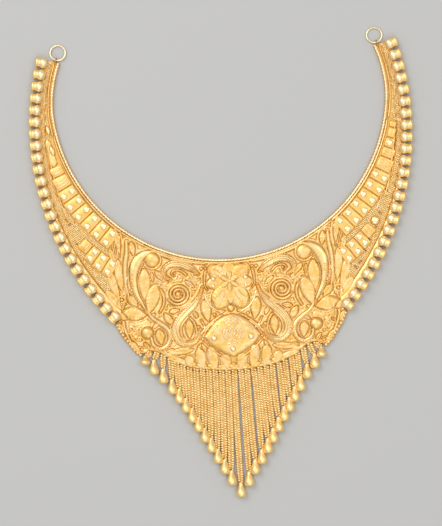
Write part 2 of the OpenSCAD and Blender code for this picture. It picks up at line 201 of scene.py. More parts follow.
# Leaves of the bud on the medallion, as threads of its right half
MEDALLION_CURLS = [
    [(0, -90), (1.9, -90.5), (3.6, -91.9)], [(0, -91.2), (1.6, -91.6), (2.9, -92.8)],
    [(0, -92.5), (1, -92.8), (1.8, -93.6)],
    [(0.1, -93.7), (0.9, -94.9), (0.9, -96.3), (0.1, -97.6)],
    [(1.5, -94.4), (2.3, -95.6), (2.1, -96.9), (1.1, -98)],
    [(2.8, -94.2), (3.5, -95.8), (3.2, -97.5), (2.2, -98.8)],
    [(0, -98.8), (0.9, -98.9), (1.6, -99.4)], [(0, -100.1), (1.3, -100.2), (2.4, -100.8)],
    [(5.4, -92.8), (7.2, -94.2), (8.4, -95.7)],
]
# Round disc beside the neck: middle, radius of its rim
DISC = (30.4, -65.4)
DISC_RADIUS = 3.5
# Fine threads over the relief: width, height of the foot, notched, points
THREADS = [
    (1.2, 0.25, 1, [(10.4, -79.8), (9.3, -83.2), (7, -86), (3.2, -88)]),
    (1, 0.6, 1, [(15, -83.4), (18.7, -86.8), (21.7, -90.4), (23, -94), (22, -97.6), (19.4, -99.9)]),
    (0.9, 0.55, 1, [(14, -69.2), (18.8, -66.9), (23, -66.6), (26.2, -68.8), (26.6, -72)]),
    (0.5, 0.5, 0, [(3.4, -72.4), (4.6, -70.9), (6.4, -70.4)]),
    (0.5, 0.5, 0, [(3.9, -73.6), (5.6, -72.4), (7.4, -72.3)]),
    (0.5, 0.5, 0, [(1.8, -79.6), (2.6, -81.6), (4, -83.4)]),
    (0.5, 0.5, 0, [(3.2, -78.8), (4.4, -80.6), (6, -81.9)]),
    (0.7, 0.3, 0, [(24.4, -75), (27.2, -74.8), (30, -73.6)]),
    (0.7, 0.35, 0, [(26.2, -76.2), (29.8, -75.4)]),
    (0.65, 0.2, 0, [(35.6, -91.6), (37.4, -91.8), (38.9, -91)]),
    (0.65, 0.2, 0, [(36.8, -93.7), (38.4, -93.3), (39.6, -92.1)]),
    (0.6, 0.2, 0, [(40.3, -90.6), (41.2, -92.5), (41.3, -94.8)]),
    (0.6, 0.2, 0, [(36.2, -95.8), (37.2, -97.2), (38.8, -97.6)]),
    (0.65, 0.2, 0, [(35.6, -98.4), (38.4, -98.9)]),
    (0.65, 0.3, 0, [(12.1, -74.5), (15.2, -74.5), (19.2, -73)]),
    (0.65, 0.3, 0, [(20, -73.3), (21.6, -74.3), (24.6, -74.6)]),
    (0.65, 0.3, 0, [(15.2, -78.4), (15.9, -76.3), (17.6, -74.9)]),
    (0.65, 0.3, 0, [(15.4, -83.2), (18.2, -85), (22, -84.9), (24.6, -83.2)]),
    (0.6, 0.5, 0, [(12.9, -81), (15.2, -83.6), (18.4, -86.2)]),
    (0.7, 0.4, 0, [(6.9, -91.4), (9.2, -93.4), (11.2, -95.8)]),
    (0.8, 0.3, 0, [(12.2, -100.4), (11.4, -102.6)]),
    (0.7, 0.3, 0, [(10, -102), (10, -107.4)]),
    (0.7, 0.3, 0, [(5.3, -105.4), (5, -107.6), (5.3, -109.8)]),
    (0.5, 0.4, 0, [(16.6, -101.6), (20, -102.3), (24.6, -102)]),
    (0.65, 0.3, 0, [(18.6, -104), (21.6, -104.3), (25, -103.6)]),
    (0.65, 0.3, 0, [(15.1, -104.6), (14.8, -107.4)]),
    (0.65, 0.3, 0, [(20.2, -88.2), (22.4, -88.4), (23.4, -90.2)]),
    (0.65, 0.3, 0, [(35, -88.9), (38.6, -89.9), (41.6, -88.9)]),
    (0.65, 0.3, 0, [(42.4, -78.6), (44.6, -79.8), (45.2, -82.6)]),
    (0.65, 0.3, 0, [(40.6, -71.4), (41.6, -75), (41.2, -78.4)]),
]
# Short bars across the bands: distance between bars, start and end across, points
HATCHES = [
    (0.95, 0.1, 1.3, [(37.9, -70), (38.1, -75), (37.3, -78.8), (35.6, -82)]),
    (1, 0.4, 1.45, [(14.8, -84.2), (18.2, -87.2), (21.2, -90.4), (22.6, -94), (21.8, -97.4),
                   (19.2, -99.4), (16.4, -99.3)]),
    (1, 0.2, 1.25, [(14.6, -69.8), (19, -67.6), (22.8, -67.4), (25.6, -69.2)]),
    (0.95, 0.1, -0.7, [(24.9, -94), (24.8, -96.4), (26, -99.6), (28.9, -100.9), (31.7, -99.2)]),
]
FLOWER = (0, -75.5)
# Petals of one half of the flower: tip, base, width, sideways bow, veins, height
PETALS = [
    ((0, -67.9), (0, -74.5), 5.4, 0, 0, 0.55), ((7.3, -69.8), (0.6, -75), 6.4, 0, 6, 0.75),
    ((8.9, -76.2), (1, -75.6), 5, 0, 0, 0.6), ((5.4, -85.7), (0.5, -76.2), 7.8, 0, 7, 0.8),
    ((0, -84.2), (0, -76.5), 4.4, 0, 0, 0.85), ((0, -71.4), (0, -75), 2.8, 0, 0, 1.1),
    ((3.4, -73.4), (0.4, -75.3), 2.6, 0, 0, 1.15), ((3.4, -77.6), (0.4, -75.7), 2.6, 0, 0, 1.15),
    ((0, -79.6), (0, -76), 2.8, 0, 0, 1.1),
]

# Chains as they lie, from the middle outward: x and y of the drop's tip
CHAINS = {
    "right": [
        (0, -162), (3.5, -157.8), (6.2, -153.1), (9.1, -149.2), (11.7, -145), (14.1, -141),
        (16.5, -136.7), (18.9, -132.6), (21.3, -129), (23.6, -125), (26.2, -121), (29, -116.2),
        (32.2, -112.3), (35.1, -108),
    ],
    "left": [
        (0, -162), (3.5, -157), (6, -152.4), (8.5, -148), (10.9, -143.5), (13.2, -139.4),
        (15.5, -135), (17.8, -131.2), (20.1, -127.1), (22.5, -123.2), (25.2, -119.4),
        (28.5, -115), (32, -111.3), (35.4, -107.2),
    ],
}
# How far the chains lean outward at half length, where some lie apart, from the middle outward
LEANS = {
    "right": [-0.2, 0.35, 0.05, 0.6, 0.3, 0.1, 0, 0.45, 0.15, 0.35],
    "left": [-0.2, 0.05, 0.05, 0, 0, 0, 0, 0, 0, -0.1, -0.3, 0.1],
}
# Chains on each side of the middle one
STRANDS = len(CHAINS["right"]) - 1

# Profiles as radius and height, from the axis and back to it: the bell cap of an edge ball, and
# a pear drop from its round end to its neck
CAP_PROFILE = [
    (0, 0.9), (1.6, 0.9), (1.68, 1.15), (1.64, 1.4), (1.58, 1.6), (1.67, 1.85), (1.84, 2.1),
    (1.89, 2.4), (1.82, 2.7), (1.6, 2.98), (1.2, 3.18), (0.6, 3.32), (0, 3.36),
]
DROP_PROFILE = [
    (0, 0), (0.7, 0.05), (1.27, 0.24), (1.65, 0.6), (1.87, 1.05), (1.96, 1.6), (1.94, 2.2),
    (1.81, 2.85), (1.58, 3.5), (1.32, 4.15), (1.1, 4.8), (0.95, 5.35), (0.9, 5.6), (1.0, 5.75),
    (1.0, 5.95), (0.85, 6.1), (0, 6.2),
]

# Finish of each kind of piece. The gold turns from its deep to its bright colour between two
# heights in mm, which paints light and shade by height; a colour given by name is one of the
# panel's. Roughness runs between two values. Grain and stipple are the scales of fine bumps and
# dots, bump their strength, and highlight_patches how pale the painted highlight gets on the
# raised tops, in spots that cloud noise lays out.
FINISHES = {
    # The sheet's top takes the deep colour: painted shade in the gaps between the ornament of the
    # bib and the arms
    "sheet": {
        "name": "stippled_gold_sheet", "levels": (0.8, 0.3), "deep": (0.68, 0.38, 0.1),
        "bright": "bright", "roughness": (0.35, 0.5), "grain": 1400, "bump": 0.5,
        "stipple": 1900, "highlight_patches": 0.15},
    # Relief, scroll and tile turn deep low down: painted shade in the furrows and grooves and at
    # the foot of raised work
    "relief": {
        "name": "chased_gold_relief", "levels": (0.66, 1.12), "deep": "deep",
        "bright": "bright", "roughness": (0.34, 0.5), "grain": 1000, "bump": 0.5,
        "highlight_patches": 0.4},
    "scroll": {
        "name": "bright_gold_scroll", "levels": (0.8, 1.35), "deep": "deep",
        "bright": (0.9, 0.6, 0.23), "roughness": (0.3, 0.44), "grain": 1600, "bump": 0.4},
    # Threads turn pale on their crests: a painted highlight
    "thread": {
        "name": "pale_gold_thread", "levels": (0.95, 1.35), "deep": "bright",
        "bright": (1, 0.79, 0.44), "roughness": (0.24, 0.34), "grain": 900, "bump": 0.1},
    # Grains are deeper at their foot and pale on top: painted shade and painted highlight
    "grain": {
        "name": "granulated_gold", "levels": (0.7, 1), "deep": (1, 0.62, 0.21),
        "bright": (1, 0.82, 0.45), "roughness": (0.28, 0.4), "grain": 1200, "bump": 0.15},
    "tile": {
        "name": "smooth_gold_tile", "levels": (0.9, 1.45), "deep": "deep",
        "bright": (0.86, 0.5, 0.13), "roughness": (0.36, 0.48), "grain": 900, "bump": 0.25,
        "highlight_patches": 0.2},
    # Pearls, bosses, curls and the neck rope turn pale towards their tops: a painted highlight
    "pearl": {
        "name": "polished_pale_gold", "levels": (1.1, 1.8), "deep": "bright",
        "bright": (1, 0.79, 0.46), "roughness": (0.3, 0.4), "grain": 500, "bump": 0.08},
    # Balls turn pale towards their tops: a painted highlight
    "ball": {
        "name": "bright_gold_ball", "levels": (1.4, 2.9), "deep": "bright",
        "bright": (1, 0.8, 0.47), "roughness": (0.34, 0.44), "grain": 500, "bump": 0.08,
        "highlight_patches": 0.2},
    # Chains are deep low down, painted shade between the loops, and bright on the loops' tops
    "chain": {
        "name": "plaited_gold_chain", "levels": (0.5, 1.15), "deep": (0.76, 0.45, 0.12),
        "bright": (0.98, 0.73, 0.34), "roughness": (0.32, 0.46), "grain": 1500, "bump": 0.2},
    # Drops and bell caps are pale low down and yellow higher up: a painted pale rim highlight along
    # their lower edges
    "drop": {
        "name": "burnished_gold_drop", "levels": (1.2, 3.2), "deep": (1, 0.78, 0.46),
        "bright": (1, 0.72, 0.31), "roughness": (0.38, 0.5), "grain": 600, "bump": 0.12,
        "highlight_patches": 0.1},
    "wire": {
        "name": "pale_gold_wire", "levels": (0, 2), "deep": "pale", "bright": "pale",
        "roughness": (0.26, 0.36), "grain": 700, "bump": 0.1},
}

# Studio lights, in metres and watts: name, place, size, power
LIGHTS = [
    ("key_light", (-0.4, 0.4, 0.85), 0.7, 3.65), ("right_light", (0.5, 0.1, 0.9), 0.5, 1.2),
    ("near_light", (0.05, -0.6, 0.85), 0.5, 1.2), ("top_light", (0, -0.07, 1.3), 1.5, 1.8),
]


def length(name, description, default, least, most):
    """A length of the panel, given here in millimetres"""
    return FloatProperty(name=name, description=description, default=default * MM,
                         min=least * MM, max=most * MM, precision=5, unit="LENGTH")


class BibSizes(bpy.types.PropertyGroup):
    """Sizes of the sheet and its relief"""

    neck_radius: length("Neck radius", "Radius of the round neck edge", 66.5, 60, 72)
    sheet: length("Sheet", "Thickness of the backing sheet", 0.8, 0.5, 1.2)
    leaf_height: length("Leaf height", "Height of the leaves", 0.62, 0.2, 1)
    scroll_height: length("Scroll height", "Height of the scroll bands", 0.95, 0.4, 1.4)
    furrow: length("Furrow", "Distance between the furrows of the ground", 1.05, 0.6, 2)
    furrow_height: length("Furrow height", "Height of the ground's ridges", 0.46, 0.1, 0.8)
    grain: length("Grain", "Diameter of one grain of the granulation", 0.74, 0.4, 0.9)


class FringeSizes(bpy.types.PropertyGroup):
    """Sizes of the edge beads and the chain fringe"""

    ball: length("Ball", "Diameter of each edge ball", 3.8, 3, 4.2)
    balls: IntProperty(name="Balls", description="Edge balls on each arm",
                       default=24, min=12, max=30)
    pitch: length("Chain pitch", "Distance between chains at the rim", 2.55, 2.3, 2.8)
    chain_width: length("Chain width", "Width of a plaited chain", 2.55, 1.6, 2.6)
    plait: length("Plait", "Length of chain that one pair of loops takes", 0.95, 0.6, 1.5)
    drop: length("Drop length", "Length of a pear drop", 6.6, 5, 8)


class GoldFinish(bpy.types.PropertyGroup):
    """Colours of the gold"""

    bright: FloatVectorProperty(name="Bright", description="Colour of the raised gold",
                                default=(0.81, 0.485, 0.13), size=3, subtype="COLOR",
                                min=0, max=1)
    # The deep colour is painted shade, which the finishes lay in the hollows and at the foot of
    # raised work
    deep: FloatVectorProperty(name="Deep", description="Colour of the gold in the hollows",
                              default=(0.5, 0.27, 0.075), size=3, subtype="COLOR", min=0, max=1)
    pale: FloatVectorProperty(name="Pale", description="Colour of the end rings' polished wire",
                              default=(1, 0.83, 0.52), size=3, subtype="COLOR", min=0, max=1)


# Lines


def mm(value):
    """A length of the panel in millimetres, without the stray digits of its stored value"""
    return round(value / MM, 4)


def in_mm(group):
    """All lengths of a property group in millimetres"""
    return SimpleNamespace(**{key: mm(getattr(group, key))
                              for key, prop in group.bl_rna.properties.items()
                              if prop.type == "FLOAT"})


def neck_radius():
    return mm(bpy.context.scene.bib_sizes.neck_radius)


def polar(angle, radius):
    """The point at an angle from straight down and a distance from the neck arc's centre"""
    a = math.radians(angle)
    return Vector((radius * math.sin(a), -radius * math.cos(a)))


def value_at(rows, position):
    """Value at a position, from rows of (position, value) whose positions rise"""
    for (a, low), (b, high) in zip(rows, rows[1:]):
        if position <= b:
            return low + (high - low) * (position - a) / (b - a)
    return rows[-1][1]


def rim_y(x):
    """Height of the rim's outline on the right half"""
    return value_at(RIM, x)


def flank_x(y):
    """How far out the flank of the right half lies"""
    return value_at([(-q, p) for p, q in FLANK], -y)


def seam_angle(radius):
    """The seam's angle at a radius"""
    return value_at([(r, t) for t, r in SEAM], radius)


def neck_edge(angle):
    """Radius of the neck edge, which draws in a little towards the arms' tips"""
    return neck_radius() - 0.0253 * max(0, angle - 85) ** 1.5


def strap_edge(angle):
    """Radius of an arm's outer edge"""
    return 79.3 - 0.37 * (angle - 65) + 0.004 * (angle - 65) ** 2


def strip_radius(angle):
    """Middle of an arm's outer strip of grains"""
    return strap_edge(angle) - max(1.9, 3.7 - 0.07 * (angle - 50))


def bead_angle(i):
    """Angle of an edge bead, in steps that grow as the arm's radius falls"""
    return 28 + 2.6 * i + 0.028 * i * i


def smooth(points, steps):
    """Smooth curve through 2D points, with equal steps between each two"""
    p = [Vector(q) for q in points]
    p = [2 * p[0] - p[1]] + p + [2 * p[-1] - p[-2]]
    curve = []
    for a, b, c, d in zip(p, p[1:], p[2:], p[3:]):
        for k in range(steps):
            u = k / steps
            curve.append(0.5 * (2 * b + (c - a) * u + (2 * a - 5 * b + 4 * c - d) * u * u
                                + (3 * b - a - 3 * c + d) * u ** 3))
    return curve + [p[-2]]


def arc(start, end, radius_at, step=1.5):
    """Points between two angles, at a radius that radius_at gives for each"""
    n = max(2, int(abs(end - start) / step))
    return [polar(start + (end - start) * k / n, radius_at(start + (end - start) * k / n))
            for k in range(n + 1)]


def mirrored(points):
    """The same points on the other side"""
    return [Vector((-q[0], q[1])) for q in points]


class Path:
    """A line that gives the point and the sideways direction at any length"""

    def __init__(self, points, on_left=False):
        self.points = mirrored(points) if on_left else [Vector(q) for q in points]
        self.lengths = [0]
        for a, b in zip(self.points, self.points[1:]):
            self.lengths.append(self.lengths[-1] + (b - a).length)
        self.length = self.lengths[-1]

    def at(self, s):
        s = min(max(s, 0), self.length)
        k = 1
        while k < len(self.lengths) - 1 and self.lengths[k] < s:
            k += 1
        a, b = self.points[k - 1], self.points[k]
        u = (s - self.lengths[k - 1]) / max(1e-9, self.lengths[k] - self.lengths[k - 1])
        return a + (b - a) * u

    def along(self, s, reach=0.25):
        return (self.at(s + reach) - self.at(s - reach)).normalized()

    def side(self, s):
        d = self.along(s)
        return Vector((-d.y, d.x))


def curve_through(points):
    """The path of a band or thread through its listed points"""
    return Path(smooth(points, 8))


def edge_through(points):
    """Height of a curve over x, the same on both sides"""
    curve = smooth(points, 6)

    def edge(x):
        x = abs(x)
        for a, b in zip(curve, curve[1:]):
            if min(a.x, b.x) <= x <= max(a.x, b.x):
                return a.y + (b.y - a.y) * (x - a.x) / (b.x - a.x or 1)
        return curve[0].y if x < curve[0].x else curve[-1].y

    return edge


def medallion_edges():
    """The medallion's upper and lower edge over x"""
    upper = MEDALLION[:MEDALLION_CORNER + 1]
    lower = MEDALLION[MEDALLION_CORNER:]
    return edge_through(upper), edge_through(lower[::-1])


def signs_of(x):
    """Both sides for what stands at x, or one for what stands on the middle line"""
    return (1, -1) if x else (1,)


def tiles_of(side):
    """The tiles of an arm"""
    return [tile for tile in TILES if side == "right" or tile[0] < LEFT_TILES_END]


# Smooth bands of an arm: start and end angle, start and end width, radius
ARM_BANDS = [
    (78, 103.2, 1.1, 0.8, lambda t: neck_edge(t) + 2),
    (60, 103.2, 0.7, 0.5, lambda t: strip_radius(t) - 1.45),
    (27, 66, 3.8, 1.05, lambda t: (strip_radius(t) + 1.4 + strap_edge(t)) / 2),
    (62, 77, 1.3, 0.9, lambda t: strip_radius(t) - 2.35),
    (54.4, 60.5, 1.4, 0.8, lambda t: strip_radius(t) - 1.95),
    (50, 56.5, 1.2, 0.7, lambda t: strip_radius(t) - 3.4),
    (38, 78, 1.35, 1.1, lambda t: neck_edge(t) + 1.65),
]
# A broad band that only the left arm has, in the same form
LEFT_BAND = (68.8, 77.8, 4, 2.6, lambda t: strip_radius(t) / 2 + 34.4)
# Bands that run past this angle are notched, and fade towards the tip
NOTCHED_PAST = 80
# Short bars beside the seam: start angle and radius, end angle and radius, width
SEAM_BARS = [
    (37.9, 69.4, 34.5, 78.4, 1.1), (38.1, 72, 36, 78.3, 1), (38.2, 74.8, 37.3, 78, 0.9),
    (33.1, 86.8, 35.2, 77.6, 0.8),
]

# Shapes


def as_mesh(part, name):
    """A bmesh as a mesh, which can be copied many times"""
    mesh = bpy.data.meshes.new(name)
    part.to_mesh(mesh)
    part.free()
    return mesh


def gather(target, part, matrix=None):
    """Adds a small bmesh, or a mesh to be kept, to a larger bmesh"""
    mesh = as_mesh(part, "part") if isinstance(part, bmesh.types.BMesh) else part.copy()
    if matrix is not None:
        mesh.transform(matrix)
        if matrix.determinant() < 0:
            mesh.flip_normals()
    target.from_mesh(mesh)
    bpy.data.meshes.remove(mesh)


def fill_holes(bm):
    """Closes every open border and turns the faces outwards"""
    bmesh.ops.holes_fill(bm, edges=[e for e in bm.edges if e.is_boundary], sides=0)
    bmesh.ops.recalc_face_normals(bm, faces=bm.faces)


def close_below(bm, depth):
    """Walls down from the open border to a depth, and a floor"""
    border = [e for e in bm.edges if e.is_boundary]
    for v in bmesh.ops.extrude_edge_only(bm, edges=border)["geom"]:
        if isinstance(v, bmesh.types.BMVert):
            v.co.z = depth
    fill_holes(bm)


def bent_grid(along, across, place, depth=None):
    """A grid whose points are laid by place(u, v), u from 0 to 1 and v from -1 to 1"""
    bm = bmesh.new()
    bmesh.ops.create_grid(bm, x_segments=across, y_segments=along, size=1)
    for v in bm.verts:
        v.co = Vector(place((v.co.y + 1) / 2, v.co.x))
    if depth is not None:
        close_below(bm, depth)
    return bm


def plate(outlines, low, high, bevel=0.12):
    """A flat plate from an outline, with any holes, between two heights"""
    bm = bmesh.new()
    for outline in outlines:
        verts = [bm.verts.new((p[0], p[1], low)) for p in outline]
        for a, b in zip(verts, verts[1:] + verts[:1]):
            bm.edges.new((a, b))
    bmesh.ops.triangle_fill(bm, use_beauty=True, edges=list(bm.edges))
    up = bmesh.ops.extrude_face_region(bm, geom=list(bm.faces), use_keep_orig=True)["geom"]
    top = [v for v in up if isinstance(v, bmesh.types.BMVert)]
    bmesh.ops.translate(bm, vec=(0, 0, high - low), verts=top)
    bmesh.ops.recalc_face_normals(bm, faces=bm.faces)
    crest = [e for e in bm.edges if len(e.link_faces) == 2 and e.calc_face_angle(0) > 1
             and min(v.co.z for v in e.verts) > high - 1e-4]
    bmesh.ops.bevel(bm, geom=crest, offset=bevel, offset_type="OFFSET", segments=2,
                    profile=0.5, affect="EDGES", material=-1, clamp_overlap=True)
    return bm


def turned(bm, steps):
    """Spins a profile in XZ once round Z"""
    bmesh.ops.spin(bm, geom=list(bm.verts) + list(bm.edges), cent=(0, 0, 0), axis=(0, 0, 1),
                   dvec=(0, 0, 0), angle=math.tau, steps=steps, use_merge=True,
                   use_duplicate=False)
    bmesh.ops.remove_doubles(bm, verts=bm.verts, dist=1e-4)
    bmesh.ops.recalc_face_normals(bm, faces=bm.faces)
    return bm


def spun(profile, steps):
    """A solid of revolution about Z from (radius, height) points that start and end at 0"""
    bm = bmesh.new()
    verts = [bm.verts.new((r, 0, z)) for r, z in profile]
    for pair in zip(verts, verts[1:]):
        bm.edges.new(pair)
    return turned(bm, steps)


def wire_ring(radius, wire, steps, sides):
    """A closed ring of round wire, flat in XY"""
    bm = bmesh.new()
    place = Matrix.Translation((radius, 0, 0)) @ Matrix.Rotation(math.pi / 2, 4, "X")
    bmesh.ops.create_circle(bm, cap_ends=False, radius=wire / 2, segments=sides, matrix=place)
    return turned(bm, steps)


def dome(radius, height, sink=0.3):
    """Profile of a round dome that is sunk into the sheet, from its top outward"""
    quarter = [math.pi / 2 * k / 5 for k in range(6)]
    return ([(radius * math.sin(a), height * math.cos(a)) for a in quarter]
            + [(radius, -sink), (0, -sink)])


def add_dome(bm, place, radius, height, steps=18, shape=None):
    """Adds a round dome with its foot at a place, turned or stretched by a shape matrix"""
    gather(bm, spun(dome(radius, height), steps), Matrix.Translation(place) @ (shape or Matrix()))


def ball(name, radius, around, rows):
    """A round ball with few faces, to be copied many times"""
    bm = bmesh.new()
    bmesh.ops.create_uvsphere(bm, u_segments=around, v_segments=rows, radius=radius)
    return as_mesh(bm, name)


def width_at(widths, u):
    """Width of a band between its listed widths, u from 0 to 1"""
    k = min(int(u * (len(widths) - 1)), len(widths) - 2)
    return widths[k] + (widths[k + 1] - widths[k]) * (u * (len(widths) - 1) - k)


def scroll(path, widths, low, height, notch=0, step=0.5, foot=0.3, ridges=1):
    """A chased band with a changing width, raised ridges and notches across them"""
    steps = max(4, int(path.length / step))

    def place(u, v):
        s = u * path.length
        taper = min(1, 0.25 + 3 * s / widths[0], 0.2 + 3 * (path.length - s) / widths[-1])
        half = width_at(widths, u) / 2 * max(0.12, taper)
        p = path.at(s) + path.side(s) * v * half
        crest = 0.5 - 0.5 * math.cos(math.tau * ridges * (v + 1) / 2)
        round_off = max(0, 1 - abs(v) ** 6) ** 0.5
        cut = notch if int(u * steps + 0.5) % 2 else 0
        z = low + height * (round_off * (0.55 + 0.45 * crest) - cut) * (0.6 + 0.4 * taper)
        return p.x, p.y, z

    return bent_grid(steps, 4 * ridges + 4, place, low - foot)


def leaf_half_width(width, u, blunt=False):
    """Half the width of a leaf, u from its tip at 0 to its base at 1"""
    return width / 2 * max(0.03, math.sin(math.pi * u ** 0.8)) ** (0.5 if blunt else 0.8)


def leaf(tip, base, width, bow, veins, low, height, blunt=False):
    """A domed leaf, pointed or blunt, with a middle crease and curved veins"""
    a, b = Vector(tip), Vector(base)
    d = b - a
    side = Vector((-d.y, d.x)).normalized()

    def place(u, v):
        half = leaf_half_width(width, u, blunt)
        p = a + d * u + side * (bow * d.length * math.sin(math.pi * u) + v * half)
        swell = max(0, 1 - abs(v) ** 2.5) ** 0.6
        crease = (0.1 if blunt else 0.28) * math.exp(-(v / 0.16) ** 2) * math.sin(math.pi * u)
        vein = 0
        if veins:
            vein = 0.22 * (0.5 + 0.5 * math.cos(math.tau * veins * (u - 0.14 * abs(v))))
            vein *= min(1, 3 * abs(v))
        return p.x, p.y, low + height * (0.25 + 0.75 * swell) * (1 - crease - vein)

    return bent_grid(30 if veins else 18, 12, place, low - 0.3)


def rope(path, wire, height):
    """Two wires twisted together, as one notched tube along a path"""
    lay, steps_a_turn, sides = 1.3, 10, 12

    def place(u, v):
        s = u * path.length
        a = math.pi * v
        swell = wire / 2 * (0.86 + 0.16 * math.cos(2 * (a + math.pi * s / lay)))
        p = path.at(s) + path.side(s) * math.cos(a) * swell
        return p.x, p.y, height + math.sin(a) * swell

    bm = bent_grid(int(path.length / lay * steps_a_turn), sides, place)
    bmesh.ops.remove_doubles(bm, verts=bm.verts, dist=1e-4)
    fill_holes(bm)
    return bm


def pillow(reach, lower_edge, upper_edge, low, height):
    """A smooth dome between two edge curves over x, from -reach to reach"""

    def place(u, v):
        x = -reach * math.cos(math.pi * u)
        a, b = lower_edge(x), upper_edge(x)
        w = math.sin(math.pi / 2 * v)
        end = (1 - abs(2 * u - 1) ** 4) ** 0.5
        z = low + 0.2 + height * (1 - w * w) ** 0.5 * end
        return x, (a + b) / 2 + (b - a) / 2 * w, z

    bm = bent_grid(28, 14, place, low - 0.3)
    bmesh.ops.remove_doubles(bm, verts=bm.verts, dist=1e-3)
    return bm


# Materials


def add_node(tree, kind, at, **values):
    """A node at a place in the editor, with values for its sockets or for itself"""
    node = tree.nodes.new(kind)
    node.location = at
    for key, value in values.items():
        if key in node.inputs:
            node.inputs[key].default_value = value
        else:
            setattr(node, key, value)
    return node


def map_range(tree, at, value, source, result):
    """Turns a value between the two of source into one between the two of result"""
    node = add_node(tree, "ShaderNodeMapRange", at, clamp=True)
    for key, number in zip(("From Min", "From Max", "To Min", "To Max"), (*source, *result)):
        node.inputs[key].default_value = number
    tree.links.new(value, node.inputs["Value"])
    return node.outputs["Result"]


def gold_colour(tree, place, levels, deep, bright, highlight_patches):
    """Deep gold at the first level and bright gold at the second, as painted shade and light by
    height, with a painted pale highlight in cloudy spots
    """
    link = tree.links.new
    split = add_node(tree, "ShaderNodeSeparateXYZ", (-700, 200))
    link(place, split.inputs[0])
    height = map_range(tree, (-500, 200), split.outputs["Z"],
                       (levels[0] * MM, levels[1] * MM), (-0.27, 0.27))
    cloud = add_node(tree, "ShaderNodeTexNoise", (-700, -60), Scale=430.0, Detail=3.0)
    link(place, cloud.inputs["Vector"])
    shift = add_node(tree, "ShaderNodeMath", (-300, 200), operation="MULTIPLY_ADD")
    shift.inputs[1].default_value = 0.9
    link(cloud.outputs["Fac"], shift.inputs[0])
    link(height, shift.inputs[2])
    turn = add_node(tree, "ShaderNodeValToRGB", (-100, 200))
    low, high = turn.color_ramp.elements
    low.position, low.color = 0.18, (*deep, 1)
    high.position, high.color = 0.62, (*bright, 1)
    # The pale stop near the top of the ramp is a painted highlight, reached in cloudy spots on the
    # raised tops
    painted_highlight = (1, 0.82, 0.55)
    light = turn.color_ramp.elements.new(0.85)
    light.color = (*(c + (p - c) * highlight_patches for c, p in zip(bright, painted_highlight)), 1)
    link(shift.outputs[0], turn.inputs["Fac"])
    return turn.outputs["Color"]


def stippled(tree, place, stipple, fine):
    """Small dots added to the fine bumps"""
    cells = add_node(tree, "ShaderNodeTexVoronoi", (-300, -500), Scale=float(stipple))
    tree.links.new(place, cells.inputs["Vector"])
    both = add_node(tree, "ShaderNodeMath", (0, -400), operation="ADD")
    tree.links.new(cells.outputs["Distance"], both.inputs[0])
    tree.links.new(fine, both.inputs[1])
    return both.outputs[0]


def gold(name, levels, deep, bright, roughness, grain, bump, stipple=0, highlight_patches=0.3):
    """Polished or stippled gold, with its colour by height, which paints its light and shade, and
    its fine bumps
    """
    found = bpy.data.materials.get(name)
    if found:
        return found
    material = bpy.data.materials.new(name)
    material.use_nodes = True
    tree = material.node_tree
    tree.nodes.clear()
    link = tree.links.new
    out = add_node(tree, "ShaderNodeOutputMaterial", (900, 0))
    shader = add_node(tree, "ShaderNodeBsdfPrincipled", (600, 0), Metallic=1.0)
    link(shader.outputs["BSDF"], out.inputs["Surface"])
    place = add_node(tree, "ShaderNodeTexCoord", (-900, 0)).outputs["Object"]
    noise = add_node(tree, "ShaderNodeTexNoise", (-700, -300), Scale=float(grain), Detail=4.0)
    link(place, noise.inputs["Vector"])
    fine = noise.outputs["Fac"]
    link(gold_colour(tree, place, levels, deep, bright, highlight_patches), shader.inputs["Base Color"])
    link(map_range(tree, (100, -100), fine, (0.3, 0.7), roughness), shader.inputs["Roughness"])
    press = add_node(tree, "ShaderNodeBump", (350, -300), Strength=bump, Distance=0.06 * MM)
    link(stippled(tree, place, stipple, fine) if stipple else fine, press.inputs["Height"])
    link(press.outputs["Normal"], shader.inputs["Normal"])
    return material


def finish_of(kind):
    """The gold of a kind of piece"""
    finish, panel = dict(FINISHES[kind]), bpy.context.scene.gold_finish
    for tone in ("deep", "bright"):
        if isinstance(finish[tone], str):
            finish[tone] = tuple(getattr(panel, finish[tone]))
    return gold(**finish)


def finished(name, bm, kind, replaces=()):
    """Turns a bmesh in millimetres into a piece of the necklace"""
    bmesh.ops.scale(bm, vec=(MM, MM, MM), verts=bm.verts)
    for f in bm.faces:
        f.smooth = True
    mesh = as_mesh(bm, name)
    mesh.materials.append(finish_of(kind))
    mesh.set_sharp_from_angle(angle=SHARP_ANGLE)
    piece = bpy.data.objects.new(name, mesh)
    bpy.context.scene.collection.objects.link(piece)
    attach(piece, "root")
    if replaces:
        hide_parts(*replaces)


def both_sides(name, bm, kind):
    """A piece on the right and its mirror image on the left"""
    mesh = as_mesh(bm, name)
    for side, sign in SIDES.items():
        half = bmesh.new()
        gather(half, mesh, Matrix.Diagonal((sign, 1, 1, 1)))
        finished(name + "_" + side, half, kind)
    bpy.data.meshes.remove(mesh)


# Bib


def bib_outline():
    """The bib's outline, all round"""
    half = [polar(SEAM_TOP * k / 40, neck_radius()) for k in range(41)]
    half += [polar(t, q) for t, q in SEAM]
    half += [polar(SEAM_FOOT, strap_edge(SEAM_FOOT) + SEAM_GAP)]
    half += [Vector(p) for p in CORNER] + smooth(FLANK, 4) + smooth(RIM[::-1], 4)
    half = [p for k, p in enumerate(half) if k == 0 or (p - half[k - 1]).length > 0.02]
    return half[:-1] + mirrored(reversed(half))[:-1]


def inset_outline(outline, distance):
    """An outline moved inward, from the normals at its points"""
    made = []
    for before, p, after in zip(outline[-1:] + outline, outline, outline[1:] + outline[:1]):
        d = (after - before).normalized()
        made.append(p + Vector((d.y, -d.x)) * distance)
    return made


